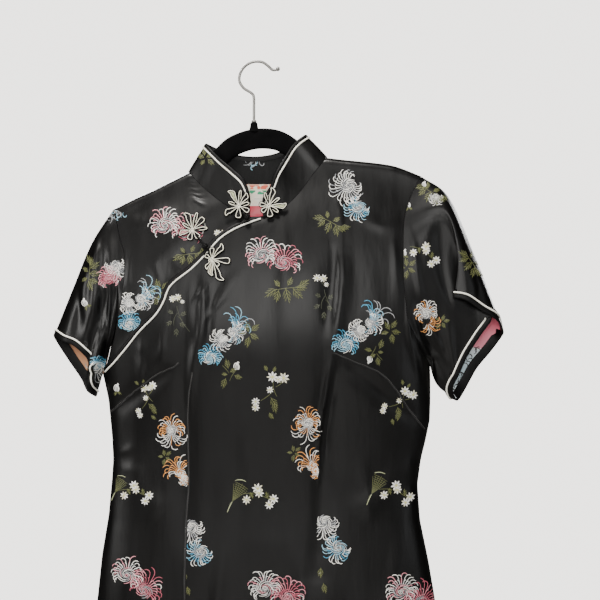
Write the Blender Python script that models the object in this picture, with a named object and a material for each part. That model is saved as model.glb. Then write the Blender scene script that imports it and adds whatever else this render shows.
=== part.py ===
"""A short-sleeved cheongsam of black brocade satin, hanging on a velvet hanger.

Metres, +Z up, front towards -Y, +X to the wearer's left. The origin is the inner crown
of the hanger's hook, where the hanger rests on whatever holds it.
The cloth panels are walls laid over two depth functions, front_y and back_y, so that
all that is sewn on a panel is worked out from the same surface.
"""

import math

import bmesh
import bpy
import numpy as np

MM = 0.001
WALL = 1.5 * MM           # cloth with its interlining
SEAM = 0.3 * MM           # gap between two pieces at a seam
HALF_SEAM = SEAM / 2
ARM_GAP = 1.1 * MM       # at the armholes, whose edges are curved both ways
RIDGE = 5.4 * MM          # how far the cloth stands off the shoulder line over the hanger
RIDGE_DROP = 1.7 * MM
FILL_DROP = 55 * MM       # drop over which the dress swells out below the shoulders
LAP_INSET = 2.6 * MM      # how far the underlap lies behind the front that covers it
LAP_FADE = 34 * MM
LAP_WIDTH = 22 * MM       # how far the underlap runs on under the front
NEAR_NECK = 3.5 * MM      # extra columns of a panel by the neck points and the sides
NEAR_SIDE = 6 * MM
SLIT_TOP = -905 * MM
SLIT_OPEN = 7 * MM
HEM_Z = -1120 * MM
EDGE_BAND = 5 * MM        # width of the black binding outside the piping
PIPING_WIDTH = 3.0 * MM
PIPING_RISE = 1.6 * MM
BAND_RISE = 0.8 * MM
BAND_WIDTH = EDGE_BAND - 2.2 * MM   # the part of the binding that stands clear of the piping
BAND_SHIFT = 0.9 * MM               # from the middle of the binding out to the middle of that part
CUFF_LIFT = 0.8 * MM                # extra room between a cuff's binding and its piping
LABEL_THICK = 0.7 * MM
FROG_KNOT = 3.6 * MM
BUTTON_RADIUS = 4.0 * MM
BUTTON_CORD = 1.3 * MM
HANGER_NECK_FLAT = 0.6    # depth of the hanger's neck as a share of its width

# Side outline of the dress, up to the shoulders; above the underarm it runs inside the
# sleeves and only shapes the depth. Millimetres.
BODY = [
    # z, left x, right x, front depth, back depth
    (-110, -176, 206, 12, 9),
    (-170, -192, 216, 26, 15),
    (-240, -200, 221, 36, 18),
    (-310, -196, 220, 43, 18),
    (-360, -184, 211, 42, 17),
    (-404, -176, 210, 36, 16),
    (-428, -174, 209, 33, 15),
    (-452, -172, 204, 30, 15),
    (-476, -171, 198, 28, 15),
    (-506, -173, 194, 27, 16),
    (-548, -177, 197, 29, 19),
    (-596, -185, 207, 32, 22),
    (-643, -190, 215, 34, 24),
    (-700, -197, 222, 34, 24),
    (-770, -199, 224, 32, 22),
    (-905, -194, 218, 29, 20),
    (-1120, -186, 208, 26, 18),
]
SHOULDER_LEFT = [(-170.4, -175.5), (-148.8, -164.4), (-122.4, -152.4), (-98.4, -140.4), (-80.4, -131.5)]
SHOULDER_RIGHT = [(85.2, -114), (105.6, -116.4), (141.6, -120), (164.4, -123.5), (181, -129),
                  (198.7, -136.3)]
NECK_FRONT_LEFT = [(-80.4, -131.5), (-70, -142.5), (-58.8, -153.6), (-45.6, -164.4), (-30, -175), (-8, -186)]
NECK_FRONT_RIGHT = [(-8, -186), (14, -184), (34.8, -173.4), (46.8, -163.2), (57.6, -150), (69.6, -133.2),
                    (85.2, -114)]
NECK_BACK = [(-80.4, -131.5), (-55, -145), (-25, -151.5), (2, -152), (30, -147), (60, -133), (85.2, -114)]
# Piping of the slanting opening, from the underarm to the neck.
OPENING = [(-180, -371), (-166.8, -358), (-152.4, -341.5), (-135.6, -321), (-117.6, -303), (-108, -288),
           (-100.8, -270), (-90, -259.5), (-75.6, -248.4), (-58.8, -231.6), (-42, -212.4), (-24, -200.4),
           (-2, -191)]
ARM_LEFT_FRONT = [(-170.4, -175.5), (-166.8, -186), (-162, -208.8), (-156, -228), (-154.8, -243.6),
                  (-155.3, -260.4), (-160, -292), (-166.8, -324), (-174.6, -349.2), (-181.5, -370)]
ARM_RIGHT_FRONT = [(198.7, -136.3), (189.1, -152.4), (181.2, -171.6), (176.4, -190.8), (175.2, -220.8),
                   (175.2, -255.6), (177.6, -285.6), (180, -307.2), (189.6, -327.6), (198, -345.6),
                   (209, -358)]
ARM_LEFT_BACK = [(-170.4, -175.5), (-169, -200), (-167, -235), (-167, -270), (-170, -310), (-176, -345),
                 (-181.5, -370)]
ARM_RIGHT_BACK = [(198.7, -136.3), (194, -165), (190, -200), (188, -240), (190, -285), (197, -325),
                  (209, -358)]

# Darts are shallow troughs: ends in mm, trough depth and half width in mm.
FRONT_DARTS = [
    # name, x0, z0, x1, z1, depth, half width
    ("bust_right", -92, -359, -172, -420, 2.6, 9),
    ("bust_left", 98, -350, 196, -432, 2.6, 9),
    ("waist_right", -80, -290, -82, -610, 2.4, 12),
    ("waist_left", 88, -357, 74, -620, 2.4, 12),
]
BACK_DARTS = [
    ("back_waist_right", -76, -330, -80, -640, 2.2, 11),
    ("back_waist_left", 84, -330, 84, -640, 2.2, 11),
]
# Soft ridges of the hanging cloth: a line, its rise (negative: trough) and half width, mm.
FRONT_FOLDS = [
    ("skirt_fold_right", -40, -640, -60, -1120, 4.5, 38),
    ("skirt_fold_left", 66, -600, 96, -1120, 5.0, 42),
    ("skirt_hollow", 16, -560, 18, -1120, -3.5, 34),
    ("chest_fold", 62, -200, 30, -520, 2.2, 26),
    ("side_drag_left", 196, -470, 120, -540, 2.0, 14),
    ("side_drag_right", -168, -480, -110, -540, 1.8, 14),
]
BACK_FOLDS = [
    ("back_fold_right", -60, -560, -88, -1120, 4.0, 40),
    ("back_fold_left", 60, -600, 90, -1120, 4.0, 40),
    ("back_hollow", 4, -620, 2, -1120, -3.0, 34),
]

# Each row of a sleeve is one line from armhole to cuff: its share of the armhole's length,
# then x, z, y at an upper ring, a middle ring and the cuff, in mm.
LEFT_SLEEVE_FRONT = [
    # share, upper x, z, y, middle x, z, y, cuff x, z, y
    (0.00, 231, -161, 0, 262, -229, 0, 297, -322, 0),
    (0.05, 230, -167, -10, 259, -235, -12, 289, -309, -14),
    (0.10, 228, -171, -14, 253, -236, -18, 270, -298, -21),
    (0.16, 226, -174, -16, 246, -234, -21, 250, -285, -24.5),
    (0.22, 224, -177, -17, 240, -230, -20.5, 236, -282, -22.5),
    (0.27, 222, -183, -17, 244, -237, -17, 250, -284, -19.5),
    (0.33, 218, -191, -17, 248, -245, -14, 268, -293, -17),
    (0.42, 211, -210, -19, 248, -256, -12.5, 281, -306, -12.5),
    (0.56, 203, -256, -22, 238, -278, -16, 267, -328, -11.5),
    (0.68, 203, -290, -22, 230, -305, -17, 253, -350, -11.5),
    (0.80, 205, -318, -19, 222, -333, -15, 243, -372, -11),
    (0.92, 209, -346, -11, 218, -362, -9, 235, -391, -7),
    (1.00, 212, -374, 0, 220, -389, 0, 241, -405, 0),
]
LEFT_SLEEVE_BACK = [
    (0.85, 213, -335, 10, 227, -357, 9, 251, -393, 8),
    (0.65, 216, -285, 13, 237, -312, 12, 266, -367, 11),
    (0.45, 220, -240, 14, 247, -280, 13, 281, -349, 12),
    (0.25, 225, -200, 13, 255, -252, 13, 291, -336, 11),
    (0.08, 229, -174, 9, 260, -237, 9, 296, -328, 7),
]
RIGHT_SLEEVE_FRONT = [
    (0.00, -197, -217, 0, -219, -270, 0, -242, -327, 0),
    (0.15, -190, -226, -12, -211, -278, -13, -230, -333, -12),
    (0.30, -182, -240, -17, -203, -286, -18, -217, -338, -16),
    (0.45, -175, -258, -21, -195, -299, -21, -206, -347, -17),
    (0.58, -170, -276, -19, -188, -313, -17, -199, -357, -13.5),
    (0.68, -170, -296, -18, -186, -331, -18, -200, -372, -15),
    (0.80, -174, -320, -16, -188, -351, -18, -200, -388, -16),
    (0.92, -179, -345, -9, -188, -369, -12, -195, -396, -11),
    (1.00, -185, -378, 0, -188, -389, 0, -192, -400, 0),
]
RIGHT_SLEEVE_BACK = [
    (0.85, -184, -348, 9, -192, -369, 9, -203, -394, 8),
    (0.60, -184, -308, 12, -199, -341, 12, -211, -379, 11),
    (0.35, -189, -262, 12, -209, -306, 12, -226, -357, 11),
    (0.12, -195, -230, 8, -216, -281, 8, -239, -336, 7),
]
# The collar runs from the wearer's right front corner round the back to the left one.
# Foot and top edge, mm; top_out is how far the top edge stands off the foot in depth.
COLLAR = [
    # foot x, foot z, top x, top z, side (-1 front, +1 back), top_out
    (-9, -185.5, -8, -171, -1, -2.0),
    (-16, -182.5, -7.5, -159, -1, -3.0),
    (-30, -174.4, -14, -142, -1, -3.0),
    (-45.6, -163.8, -26, -130, -1, -2.0),
    (-58.8, -153.0, -41, -117, -1, 0.0),
    (-70, -141.9, -53, -105, -1, 1.0),
    (-80.9, -130.5, -60, -97, 0, 0.0),
    (-66, -137.4, -52, -100.5, 1, 0.0),
    (-42, -147.4, -34, -107.5, 1, 1.0),
    (-18, -151.4, -15, -111.5, 1, 1.0),
    (4, -151.4, 4, -112, 1, 1.0),
    (28, -147.0, 25, -108, 1, 1.0),
    (52, -136.5, 44, -98, 1, 1.0),
    (71, -124, 55, -89.5, 1, 0.0),
    (86.0, -112.9, 60, -86.5, 0, 0.0),
    (77, -123, 52, -92, -1, 1.0),
    (69.6, -132.4, 43, -101, -1, 1.0),
    (57.6, -149.2, 33, -118, -1, 0.0),
    (46.8, -162.5, 24.5, -133, -1, -2.0),
    (34.8, -172.8, 18.5, -149, -1, -3.0),
    (20, -181.0, 10, -163, -1, -3.0),
    (9, -184.2, 9, -173, -1, -2.0),
]
COLLAR_WALL = 2.0 * MM
COLLAR_COLUMNS = 47
PER_SPAN = 2              # ring points to each stretch between two lines of a sleeve

# Hanger: the arch over the neck as x, z and height, then the arms under the shoulders as
# x and height; their z follows the shoulder line. Millimetres.
HANGER_ARCH = [
    (-78, -148, 17), (-66, -138.5, 18), (-55, -125.5, 20.5), (-42, -112.5, 22), (-26, -99.5, 24),
    (-2, -91.5, 24.5), (22, -92, 24.5), (40, -100, 23), (58, -114, 19.5), (75, -129, 16.5),
]
HANGER_LEFT_END = [(-142, 7.5), (-128, 11), (-110, 14.5), (-93, 16)]
HANGER_RIGHT_END = [(97, 16), (112, 15), (136, 13), (158, 10), (176, 7.5)]
REST_GAP = 0.8 * MM       # between the arms and the cloth that hangs on them
HANGER_HALF_THICK = 2.5 * MM
POST = dict(x=-2.2, foot=-82.0, top=-71.5, foot_radius=6.2, top_radius=4.2)
HOOK_RADIUS = 1.65 * MM
HOOK = [
    # x, z of the wire's centre line, mm
    (-2.2, -71.2), (-2.2, -55), (-2.4, -41), (-5.6, -36.0), (-14.6, -30.2), (-19.6, -21.8), (-18.6, -12.4),
    (-13.4, -4.4), (-6.2, 0.2), (1, 1.65), (8.4, 0.6), (14.6, -3.6), (19.4, -8.0), (23.2, -8.4), (26.4, -7.2),
]
HOOK_BALL = 2.7 * MM

FROG_CORD = 1.25 * MM
# Petals of a flower frog: turn from +x, length and half width in mm, and how sharp its tip is.
FROG_PETALS = [
    # turn, length, half width, tip
    (100, 19, 4.6, 1.0),
    (52, 16, 3.6, 0.0),
    (8, 18, 4.6, 1.0),
    (-38, 14, 4.4, 0.0),
    (-88, 17, 4.2, 0.0),
    (-140, 15, 3.8, 0.0),
    (168, 19, 4.4, 1.0),
]
FROGS = [
    # name, x, z, turn, stands off the panel in mm, flat at its lower edge's depth
    ("frog_collar_right", -22.8, -170.4, 0, 3.85, True),
    ("frog_collar_left", 19, -172.5, 180, 4.1, True),
    ("frog_chest_right", -77, -198, 30, 0.95, False),
    ("frog_chest_left", -46.5, -237, 205, 2.4, False),
]

COLOURS = {
    # base colour (linear), roughness, metallic
    "satin": ((0.012, 0.011, 0.012), 0.36, 0.0),
    "piping": ((0.86, 0.83, 0.72), 0.5, 0.0),
    "frog": ((0.82, 0.80, 0.70), 0.5, 0.0),
    "label": ((0.80, 0.74, 0.66), 0.7, 0.0),
    "tab": ((0.60, 0.10, 0.12), 0.7, 0.0),
    "velvet": ((0.008, 0.008, 0.009), 0.95, 0.0),
    "steel": ((0.55, 0.54, 0.52), 0.28, 1.0),
}


def smooth_curve(points, count):
    """Evenly spaced points on a Catmull-Rom curve through the given ones."""
    pts = np.asarray(points, float)
    padded = np.vstack([2 * pts[0] - pts[1], pts, 2 * pts[-1] - pts[-2]])
    fine = []
    for i in range(len(pts) - 1):
        a, b, c, d = padded[i:i + 4]
        for t in np.linspace(0, 1, 24, endpoint=False):
            fine.append(0.5 * (2 * b + (c - a) * t + (2 * a - 5 * b + 4 * c - d) * t * t
                               + (3 * b - a - 3 * c + d) * t ** 3))
    fine = np.array(fine + [pts[-1]])
    return evenly(fine, count)


def evenly(points, count):
    """Points at equal lengths along a line of points."""
    steps = np.r_[0, np.cumsum(np.linalg.norm(np.diff(points, axis=0), axis=1))]
    wanted = np.linspace(0, steps[-1], count)
    return np.column_stack([np.interp(wanted, steps, points[:, k]) for k in range(points.shape[1])])


def at_share(points, share):
    """The point at a share of a curve's length."""
    steps = np.r_[0, np.cumsum(np.linalg.norm(np.diff(points, axis=0), axis=1))]
    return np.array([np.interp(share * steps[-1], steps, points[:, k]) for k in range(points.shape[1])])


def mm_curve(table, count):
    """A smooth curve in metres from a table in millimetres."""
    return smooth_curve(np.array(table) * MM, count)


BODY_ROWS = np.array(BODY, float) * MM


def body_column(column, z):
    """A column of the BODY table at a height."""
    return np.interp(-z, -BODY_ROWS[:, 0], BODY_ROWS[:, column])


def shoulder_z(x):
    """Height of the shoulder seam."""
    line = np.array(SHOULDER_LEFT + SHOULDER_RIGHT) * MM
    return np.interp(x, line[:, 0], line[:, 1])


def line_relief(rows, x, z):
    """Height in metres of the troughs and ridges in a table of lines."""
    total = 0.0
    for _, x0, z0, x1, z1, rise, half in rows:
        ax, az, bx, bz = (v * MM for v in (x0, z0, x1, z1))
        length2 = (bx - ax) ** 2 + (bz - az) ** 2
        along = ((x - ax) * (bx - ax) + (z - az) * (bz - az)) / length2
        held = min(max(along, 0.0), 1.0)
        away = math.hypot(x - ax - held * (bx - ax), z - az - held * (bz - az))
        fade = min(1.0, 6 * max(held, 0.02)) * (1.0 if z1 * MM <= HEM_Z else min(1.0, 6 * (1.02 - held)))
        total += rise * MM * fade * math.exp(-(away / (half * MM)) ** 2)
    return total


def swell(x, z, depth_column):
    """How far a face stands out from the middle, and how far inside its outline a point is, 0 to 1."""
    left, right = body_column(1, z), body_column(2, z)
    across = min(abs(2 * x - left - right) / (right - left), 1.0)
    lens = (1 - across ** 2.6) ** 0.6
    edge = (1 - across ** 24) ** 0.5
    drop = max(shoulder_z(x) - z, 0.0)
    ridge = RIDGE * (1 - math.exp(-drop / RIDGE_DROP)) * edge
    fill = 1 - math.exp(-(drop / FILL_DROP) ** 1.3)
    return ridge + lens * fill * max(body_column(depth_column, z) - RIDGE, 0.0), lens * fill


def slit_gap(x, z):
    """How far each face has moved off the middle at the open side slits."""
    left, right = body_column(1, z), body_column(2, z)
    across = min(abs(2 * x - left - right) / (right - left), 1.0)
    below = max(SLIT_TOP - z, 0.0) / (SLIT_TOP - HEM_Z)
    return SLIT_OPEN * below * across ** 8


def front_y(x, z):
    """Depth of the front's outer face."""
    out, inside = swell(x, z, 3)
    darts = line_relief(FRONT_DARTS, x, z)
    folds = line_relief(FRONT_FOLDS, x, z)
    return -(HALF_SEAM + out + slit_gap(x, z) + inside * (folds - darts))


def back_y(x, z):
    """Depth of the back's outer face."""
    out, inside = swell(x, z, 4)
    darts = line_relief(BACK_DARTS, x, z)
    folds = line_relief(BACK_FOLDS, x, z)
    return HALF_SEAM + out + slit_gap(x, z) + inside * (folds - darts)


def slope_normal(depth, x, z, side):
    """Unit normal of a depth function, towards -Y for the front and +Y for the back."""
    step = 0.6 * MM
    dx = (depth(x + step, z) - depth(x - step, z)) / (2 * step)
    dz = (depth(x, z + step) - depth(x, z - step)) / (2 * step)
    normal = np.array([dx, -1.0, dz]) * (1 if side < 0 else -1)
    return normal / np.linalg.norm(normal)


def material(kind):
    found = bpy.data.materials.get(kind)
    if found:
        return found
    colour, roughness, metallic = COLOURS[kind]
    made = bpy.data.materials.new(kind)
    made.use_nodes = True
    shader = made.node_tree.nodes["Principled BSDF"]
    shader.inputs["Base Color"].default_value = (*colour, 1)
    shader.inputs["Roughness"].default_value = roughness
    shader.inputs["Metallic"].default_value = metallic
    made.diffuse_color = (*colour, 1)
    return made


def add_object(name, bm, kind, sharp=0.7):
    bmesh.ops.recalc_face_normals(bm, faces=bm.faces)
    if bm.calc_volume(signed=True) < 0:
        bmesh.ops.reverse_faces(bm, faces=bm.faces)
    mesh = bpy.data.meshes.new(name)
    bm.to_mesh(mesh)
    bm.free()
    mesh.shade_smooth()
    mesh.set_sharp_from_angle(angle=sharp)
    mesh.materials.append(material(kind))
    obj = bpy.data.objects.new(name, mesh)
    bpy.context.collection.objects.link(obj)
    return obj


def wall_mesh(outer, inner, closed=False):
    """A wall between two grids of points; closed joins its last column to its first."""
    rows, columns = outer.shape[:2]
    bm = bmesh.new()
    faces = []
    skins = [[[bm.verts.new(point) for point in row] for row in grid] for grid in (outer, inner)]
    spans = columns if closed else columns - 1
    for i in range(rows - 1):
        for j in range(spans):
            k = (j + 1) % columns
            for skin in skins:
                faces.append((skin[i][j], skin[i][k], skin[i + 1][k], skin[i + 1][j]))
    a, b = skins
    for j in range(spans):
        k = (j + 1) % columns
        for i in (0, rows - 1):
            faces.append((a[i][j], a[i][k], b[i][k], b[i][j]))
    if not closed:
        for i in range(rows - 1):
            for j in (0, columns - 1):
                faces.append((a[i][j], a[i + 1][j], b[i + 1][j], b[i][j]))
    for face in faces:
        bm.faces.new(face)
    return bm


def row_shares(count):
    """Shares of a panel's height: close together over the shoulder ridge, then even."""
    ridge = [0.0, 0.0016, 0.0045, 0.012, 0.026]
    armhole = np.linspace(0.046, 0.27, 10)
    return np.r_[ridge, armhole, np.linspace(0.27, 1.0, count - 14)[1:]]


def panel_grid(top, bottom, left, right, shares):
    """Coons patch in x and z. top and bottom run left to right, left and right run down."""
    columns = len(top)
    grid = np.zeros((len(shares), columns, 2))
    spread = np.r_[0, np.cumsum(np.linalg.norm(np.diff(bottom, axis=0), axis=1))]
    spread /= spread[-1]
    for i, v in enumerate(shares):
        for j in range(columns):
            u = spread[j]
            ruled = (1 - v) * top[j] + v * bottom[j]
            sides = (1 - u) * left[i] + u * right[i]
            corners = (1 - v) * ((1 - u) * top[0] + u * top[-1])
            corners = corners + v * ((1 - u) * bottom[0] + u * bottom[-1])
            grid[i, j] = ruled + sides - corners
    return grid


def side_line(side, arm, z_end, shares):
    """A panel's side from the shoulder down its armhole and side seam to z_end."""
    underarm = arm[-1]
    zs = np.linspace(underarm[1], z_end, 60)[1:]
    column = 1 if side < 0 else 2
    seam = np.array([(body_column(column, z), z) for z in zs])
    seam[:, 0] += (underarm[0] - body_column(column, underarm[1])) * np.exp((zs - underarm[1]) / (30 * MM))
    line = np.vstack([arm, seam])
    steps = np.r_[0, np.cumsum(np.linalg.norm(np.diff(line, axis=0), axis=1))]
    return np.column_stack([np.interp(shares * steps[-1], steps, line[:, k]) for k in (0, 1)])


def hem_line(top, z=HEM_Z):
    """Points along the hem, spread as the points of the panel's top edge are."""
    left, right = body_column(1, z), body_column(2, z)
    share = (top[:, 0] - top[0, 0]) / (top[-1, 0] - top[0, 0])
    return np.column_stack([left + (right - left) * share, np.full(len(top), z)])


def add_near_ends(curve, near_start=0.0, near_end=0.0):
    """Add a point at a distance from either end, where the cloth bends most."""
    length = np.linalg.norm(np.diff(curve, axis=0), axis=1).sum()
    parts = [curve[:1]]
    if near_start:
        parts.append([at_share(curve, near_start / length)])
    parts.append(curve[1:-1])
    if near_end:
        parts.append([at_share(curve, 1 - near_end / length)])
    return np.vstack(parts + [curve[-1:]])


def join_curves(*curves):
    return np.vstack([curves[0]] + [c[1:] for c in curves[1:]])


def skin_panel(name, grid, depth, side, seams, inset=None):
    """Give a panel's x-z grid its depth and thickness. seams(i, j) gives the in-plane normal
    of a point on a seam where front and back meet, or None elsewhere."""
    rows, columns = grid.shape[:2]
    outer = np.zeros((rows, columns, 3))
    inner = np.zeros((rows, columns, 3))
    for i in range(rows):
        for j in range(columns):
            x, z = grid[i, j]
            seam = seams(i, j)
            y = side * HALF_SEAM if seam is not None and z > SLIT_TOP - 5 * MM else depth(x, z)
            normal = np.array(seam) if seam is not None else slope_normal(depth, x, z, side)
            if i == rows - 1 and seam is None:
                normal[2] = 0
                normal /= np.linalg.norm(normal)
            outer[i, j] = (x, y, z)
            if inset is not None and seam is None:
                outer[i, j] -= inset(x, z) * normal
            inner[i, j] = outer[i, j] - WALL * normal
            if side * inner[i, j][1] < HALF_SEAM:
                inner[i, j][1] = side * HALF_SEAM
    return add_object(name, wall_mesh(outer, inner), "satin")


def opening_edge(count, out=EDGE_BAND):
    """The edge of the slanting opening, outside its piping."""
    line = mm_curve(OPENING, 160)
    along = np.gradient(line, axis=0)
    along /= np.linalg.norm(along, axis=1)[:, None]
    up_left = np.column_stack([-along[:, 1], along[:, 0]])
    moved = line + up_left * out
    return evenly(moved, count)


def front_main():
    """The large front, from the slanting opening to the wearer's left side and the hem."""
    edge = opening_edge(13)
    neck = add_near_ends(mm_curve(NECK_FRONT_RIGHT, 8), near_end=NEAR_NECK)
    edge[0] = np.array([-183.2, -374.5]) * MM
    edge[-1] = neck[0]
    edge = add_near_ends(edge, near_start=NEAR_SIDE)
    shoulder = add_near_ends(mm_curve(SHOULDER_RIGHT, 7), near_end=NEAR_SIDE)
    top = join_curves(edge, neck, shoulder)
    shares = row_shares(28)
    left = side_line(-1, np.array([top[0]]), HEM_Z, shares)
    right = side_line(1, mm_curve(ARM_RIGHT_FRONT, 60), HEM_Z, shares)
    grid = panel_grid(top, hem_line(top), left, right, shares)
    underarm_z = ARM_RIGHT_FRONT[-1][1] * MM
    first_shoulder = len(edge) + len(neck) - 2

    def seams(i, j):
        if j == 0:
            return (-1.0, 0.0, 0.0)
        if i == 0 and j >= first_shoulder:
            return (0.0, 0.0, 1.0)
        if j == len(top) - 1 and grid[i, j][1] < underarm_z + 1e-6:
            return (1.0, 0.0, 0.0)
        return None

    return skin_panel("front", grid, front_y, -1, seams)


def lap_inset(x, z):
    """How far the underlap lies behind the front, by its distance to the opening."""
    line = LAP_LINE
    gaps = np.hypot(line[:, 0] - x, line[:, 1] - z)
    k = int(np.argmin(gaps))
    along = line[min(k + 1, len(line) - 1)] - line[max(k - 1, 0)]
    above = along[0] * (z - line[k, 1]) - along[1] * (x - line[k, 0]) > 0
    if not above:
        return LAP_INSET
    share = min(gaps[k] / LAP_FADE, 1.0)
    near = max(share - 0.08, 0.0) / 0.92
    return LAP_INSET * (1 - near) ** 2 * (1 + 2 * near)


def front_underlap():
    """The small front at the wearer's right shoulder, running on under the large one."""
    shoulder = add_near_ends(mm_curve(SHOULDER_LEFT, 7), near_start=NEAR_SIDE)
    neck = add_near_ends(mm_curve(NECK_FRONT_LEFT, 7), near_start=NEAR_NECK)
    top = join_curves(shoulder, neck)
    low = opening_edge(len(top), out=EDGE_BAND - LAP_WIDTH)
    low[0] = np.array([-176.6, -396]) * MM
    shares = np.r_[0.0, 0.007, 0.02, 0.05, np.linspace(0.1, 1.0, 13)]
    left = side_line(-1, mm_curve(ARM_LEFT_FRONT, 60), -396 * MM, shares)
    under = left[:, 1] < -345 * MM
    left[under, 0] += np.clip((-345 * MM - left[under, 1]) / (24 * MM), 0, 1) * 3.6 * MM
    low[0] = left[-1]
    right = np.array([top[-1] * (1 - s) + low[-1] * s for s in shares])
    grid = panel_grid(top, low, left, right, shares)

    def seams(i, j):
        if i == 0 and j <= len(shoulder) - 1:
            return (0.0, 0.0, 1.0)
        if j == 0 and grid[i, j][1] < -368 * MM:
            return (-1.0, 0.0, 0.0)
        return None

    return skin_panel("front_underlap", grid, front_y, -1, seams, inset=lap_inset)


def back_panel():
    left_shoulder = add_near_ends(mm_curve(SHOULDER_LEFT, 6), near_start=NEAR_SIDE)
    neck = add_near_ends(mm_curve(NECK_BACK, 9), near_start=NEAR_NECK, near_end=NEAR_NECK)
    right_shoulder = add_near_ends(mm_curve(SHOULDER_RIGHT, 6), near_end=NEAR_SIDE)
    top = join_curves(left_shoulder, neck, right_shoulder)
    shares = row_shares(27)
    left = side_line(-1, mm_curve(ARM_LEFT_BACK, 60), HEM_Z, shares)
    right = side_line(1, mm_curve(ARM_RIGHT_BACK, 60), HEM_Z, shares)
    grid = panel_grid(top, hem_line(top), left, right, shares)
    neck_from, neck_to = len(left_shoulder) - 1, len(left_shoulder) + len(neck) - 2

    def seams(i, j):
        if i == 0 and (j <= neck_from or j >= neck_to):
            return (0.0, 0.0, 1.0)
        if j == 0 and grid[i, j][1] < ARM_LEFT_BACK[-1][1] * MM + 1e-6:
            return (-1.0, 0.0, 0.0)
        if j == len(top) - 1 and grid[i, j][1] < ARM_RIGHT_BACK[-1][1] * MM + 1e-6:
            return (1.0, 0.0, 0.0)
        return None

    return skin_panel("back", grid, back_y, 1, seams)


def sleeve_lines(front_rows, back_rows):
    """The sleeve's lengthwise lines round the sleeve: each is its share of the armhole, the
    face it lies on and three points towards the cuff."""
    lines = []
    for rows, face in ((front_rows, -1), (back_rows, 1)):
        for row in rows:
            upper, middle, cuff = (np.array([row[k], row[k + 2], row[k + 1]]) * MM for k in (1, 4, 7))
            lines.append((row[0], face, [upper, middle, cuff]))
    return lines


def armhole_ring(lines, arm_front, arm_back, side, per_span):
    """Ring of points beside the body's armhole edge, with the body wall's normals."""
    points, normals = [], []
    for k, (share, face, _) in enumerate(lines):
        next_share, next_face, _ = lines[(k + 1) % len(lines)]
        for step in range(per_span):
            s = share + (next_share - share) * step / per_span
            on_back = face > 0 or (next_face > 0 and share == 1.0)
            curve = arm_back if on_back else arm_front
            depth = back_y if on_back else front_y
            x, z = at_share(curve, s)
            before, after = at_share(curve, max(s - 0.01, 0)), at_share(curve, min(s + 0.01, 1))
            run = (after - before) / np.linalg.norm(after - before)
            out = np.array([-run[1], 0.0, run[0]]) * side
            normal = slope_normal(depth, x, z, 1 if on_back else -1)
            y = depth(x, z)
            if s == 0.0:
                y, normal = 0.0, np.array([0.0, 0.0, 1.0])
            elif s == 1.0:
                y, normal = 0.0, np.array([-side * 0.6, 0.0, -0.8])
            points.append(np.array([x, y, z]) + out * ARM_GAP)
            normals.append(normal)
    return np.array(points), np.array(normals)


def closed_curve(points, per_span):
    """Catmull-Rom points round a closed loop, per_span to each stretch."""
    n = len(points)
    result = []
    for i in range(n):
        a, b, c, d = (points[(i + k) % n] for k in (-1, 0, 1, 2))
        for s in range(per_span):
            t = s / per_span
            result.append(0.5 * (2 * b + (c - a) * t + (2 * a - 5 * b + 4 * c - d) * t * t
                                 + (3 * b - a - 3 * c + d) * t ** 3))
    return np.array(result)


def ring_normals(rings):
    """Outward unit normals of a tube given as rings of points."""
    rows = len(rings)
    normals = np.zeros_like(rings)
    for i in range(rows):
        along = rings[min(i + 1, rows - 1)] - rings[max(i - 1, 0)]
        around = np.roll(rings[i], -1, axis=0) - np.roll(rings[i], 1, axis=0)
        cross = np.cross(around, along)
        normals[i] = cross / np.linalg.norm(cross, axis=1)[:, None]
    return normals


def sleeve_rings(front_rows, back_rows, arm_front, arm_back, side, rows=12, per_span=PER_SPAN):
    """Rings of points from the armhole to the cuff, with their outward normals."""
    lines = sleeve_lines(front_rows, back_rows)
    start, first = armhole_ring(lines, mm_curve(arm_front, 120), mm_curve(arm_back, 120), side, per_span)
    guides = [closed_curve([line[2][k] for line in lines], per_span) for k in range(3)]
    columns = [smooth_curve([start[j]] + [guide[j] for guide in guides], rows) for j in range(len(start))]
    rings = np.array(columns).transpose(1, 0, 2)
    normals = ring_normals(rings)
    middle = rings[rows // 2].mean(axis=0)
    if np.mean(np.sum(normals[rows // 2] * (rings[rows // 2] - middle), axis=1)) < 0:
        normals = -normals
    normals[0] = first
    blend = 0.5 * (first + normals[1])
    normals[1] = blend / np.linalg.norm(blend, axis=1)[:, None]
    return rings, normals


SLEEVES = {
    "sleeve_left": (LEFT_SLEEVE_FRONT, LEFT_SLEEVE_BACK, ARM_RIGHT_FRONT, ARM_RIGHT_BACK, 1),
    "sleeve_right": (RIGHT_SLEEVE_FRONT, RIGHT_SLEEVE_BACK, ARM_LEFT_FRONT, ARM_LEFT_BACK, -1),
}


def sleeve(name):
    rings, normals = sleeve_rings(*SLEEVES[name])
    inner = rings - WALL * normals
    return add_object(name, wall_mesh(rings, inner, closed=True), "satin")


def collar_curves(count):
    """Foot, top edge and outward normal along the collar."""
    rows = []
    for foot_x, foot_z, top_x, top_z, side, top_out in np.array(COLLAR, float):
        x, z = foot_x * MM, foot_z * MM
        y = 0.0 if side == 0 else (front_y(x, z) if side < 0 else back_y(x, z))
        lean = (-top_out if side > 0 else top_out) * MM
        rows.append((x, y, z, top_x * MM, y + lean, top_z * MM))
    drawn = smooth_curve(np.array(rows), count)
    foot, top = drawn[:, :3], drawn[:, 3:]
    along = np.gradient(foot, axis=0)
    out = np.column_stack([along[:, 1], -along[:, 0], np.zeros(count)])
    out /= np.linalg.norm(out, axis=1)[:, None]
    middle = foot.mean(axis=0)
    if np.mean(np.sum(out * (foot - middle), axis=1)) < 0:
        out = -out
    return foot, top, out


def collar_grid(count, heights):
    """Rows of points up the collar's outer face, with its outward directions."""
    foot, top, out = collar_curves(count)
    return np.array([foot * (1 - h) + top * h for h in heights]), np.array([out] * len(heights))


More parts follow.
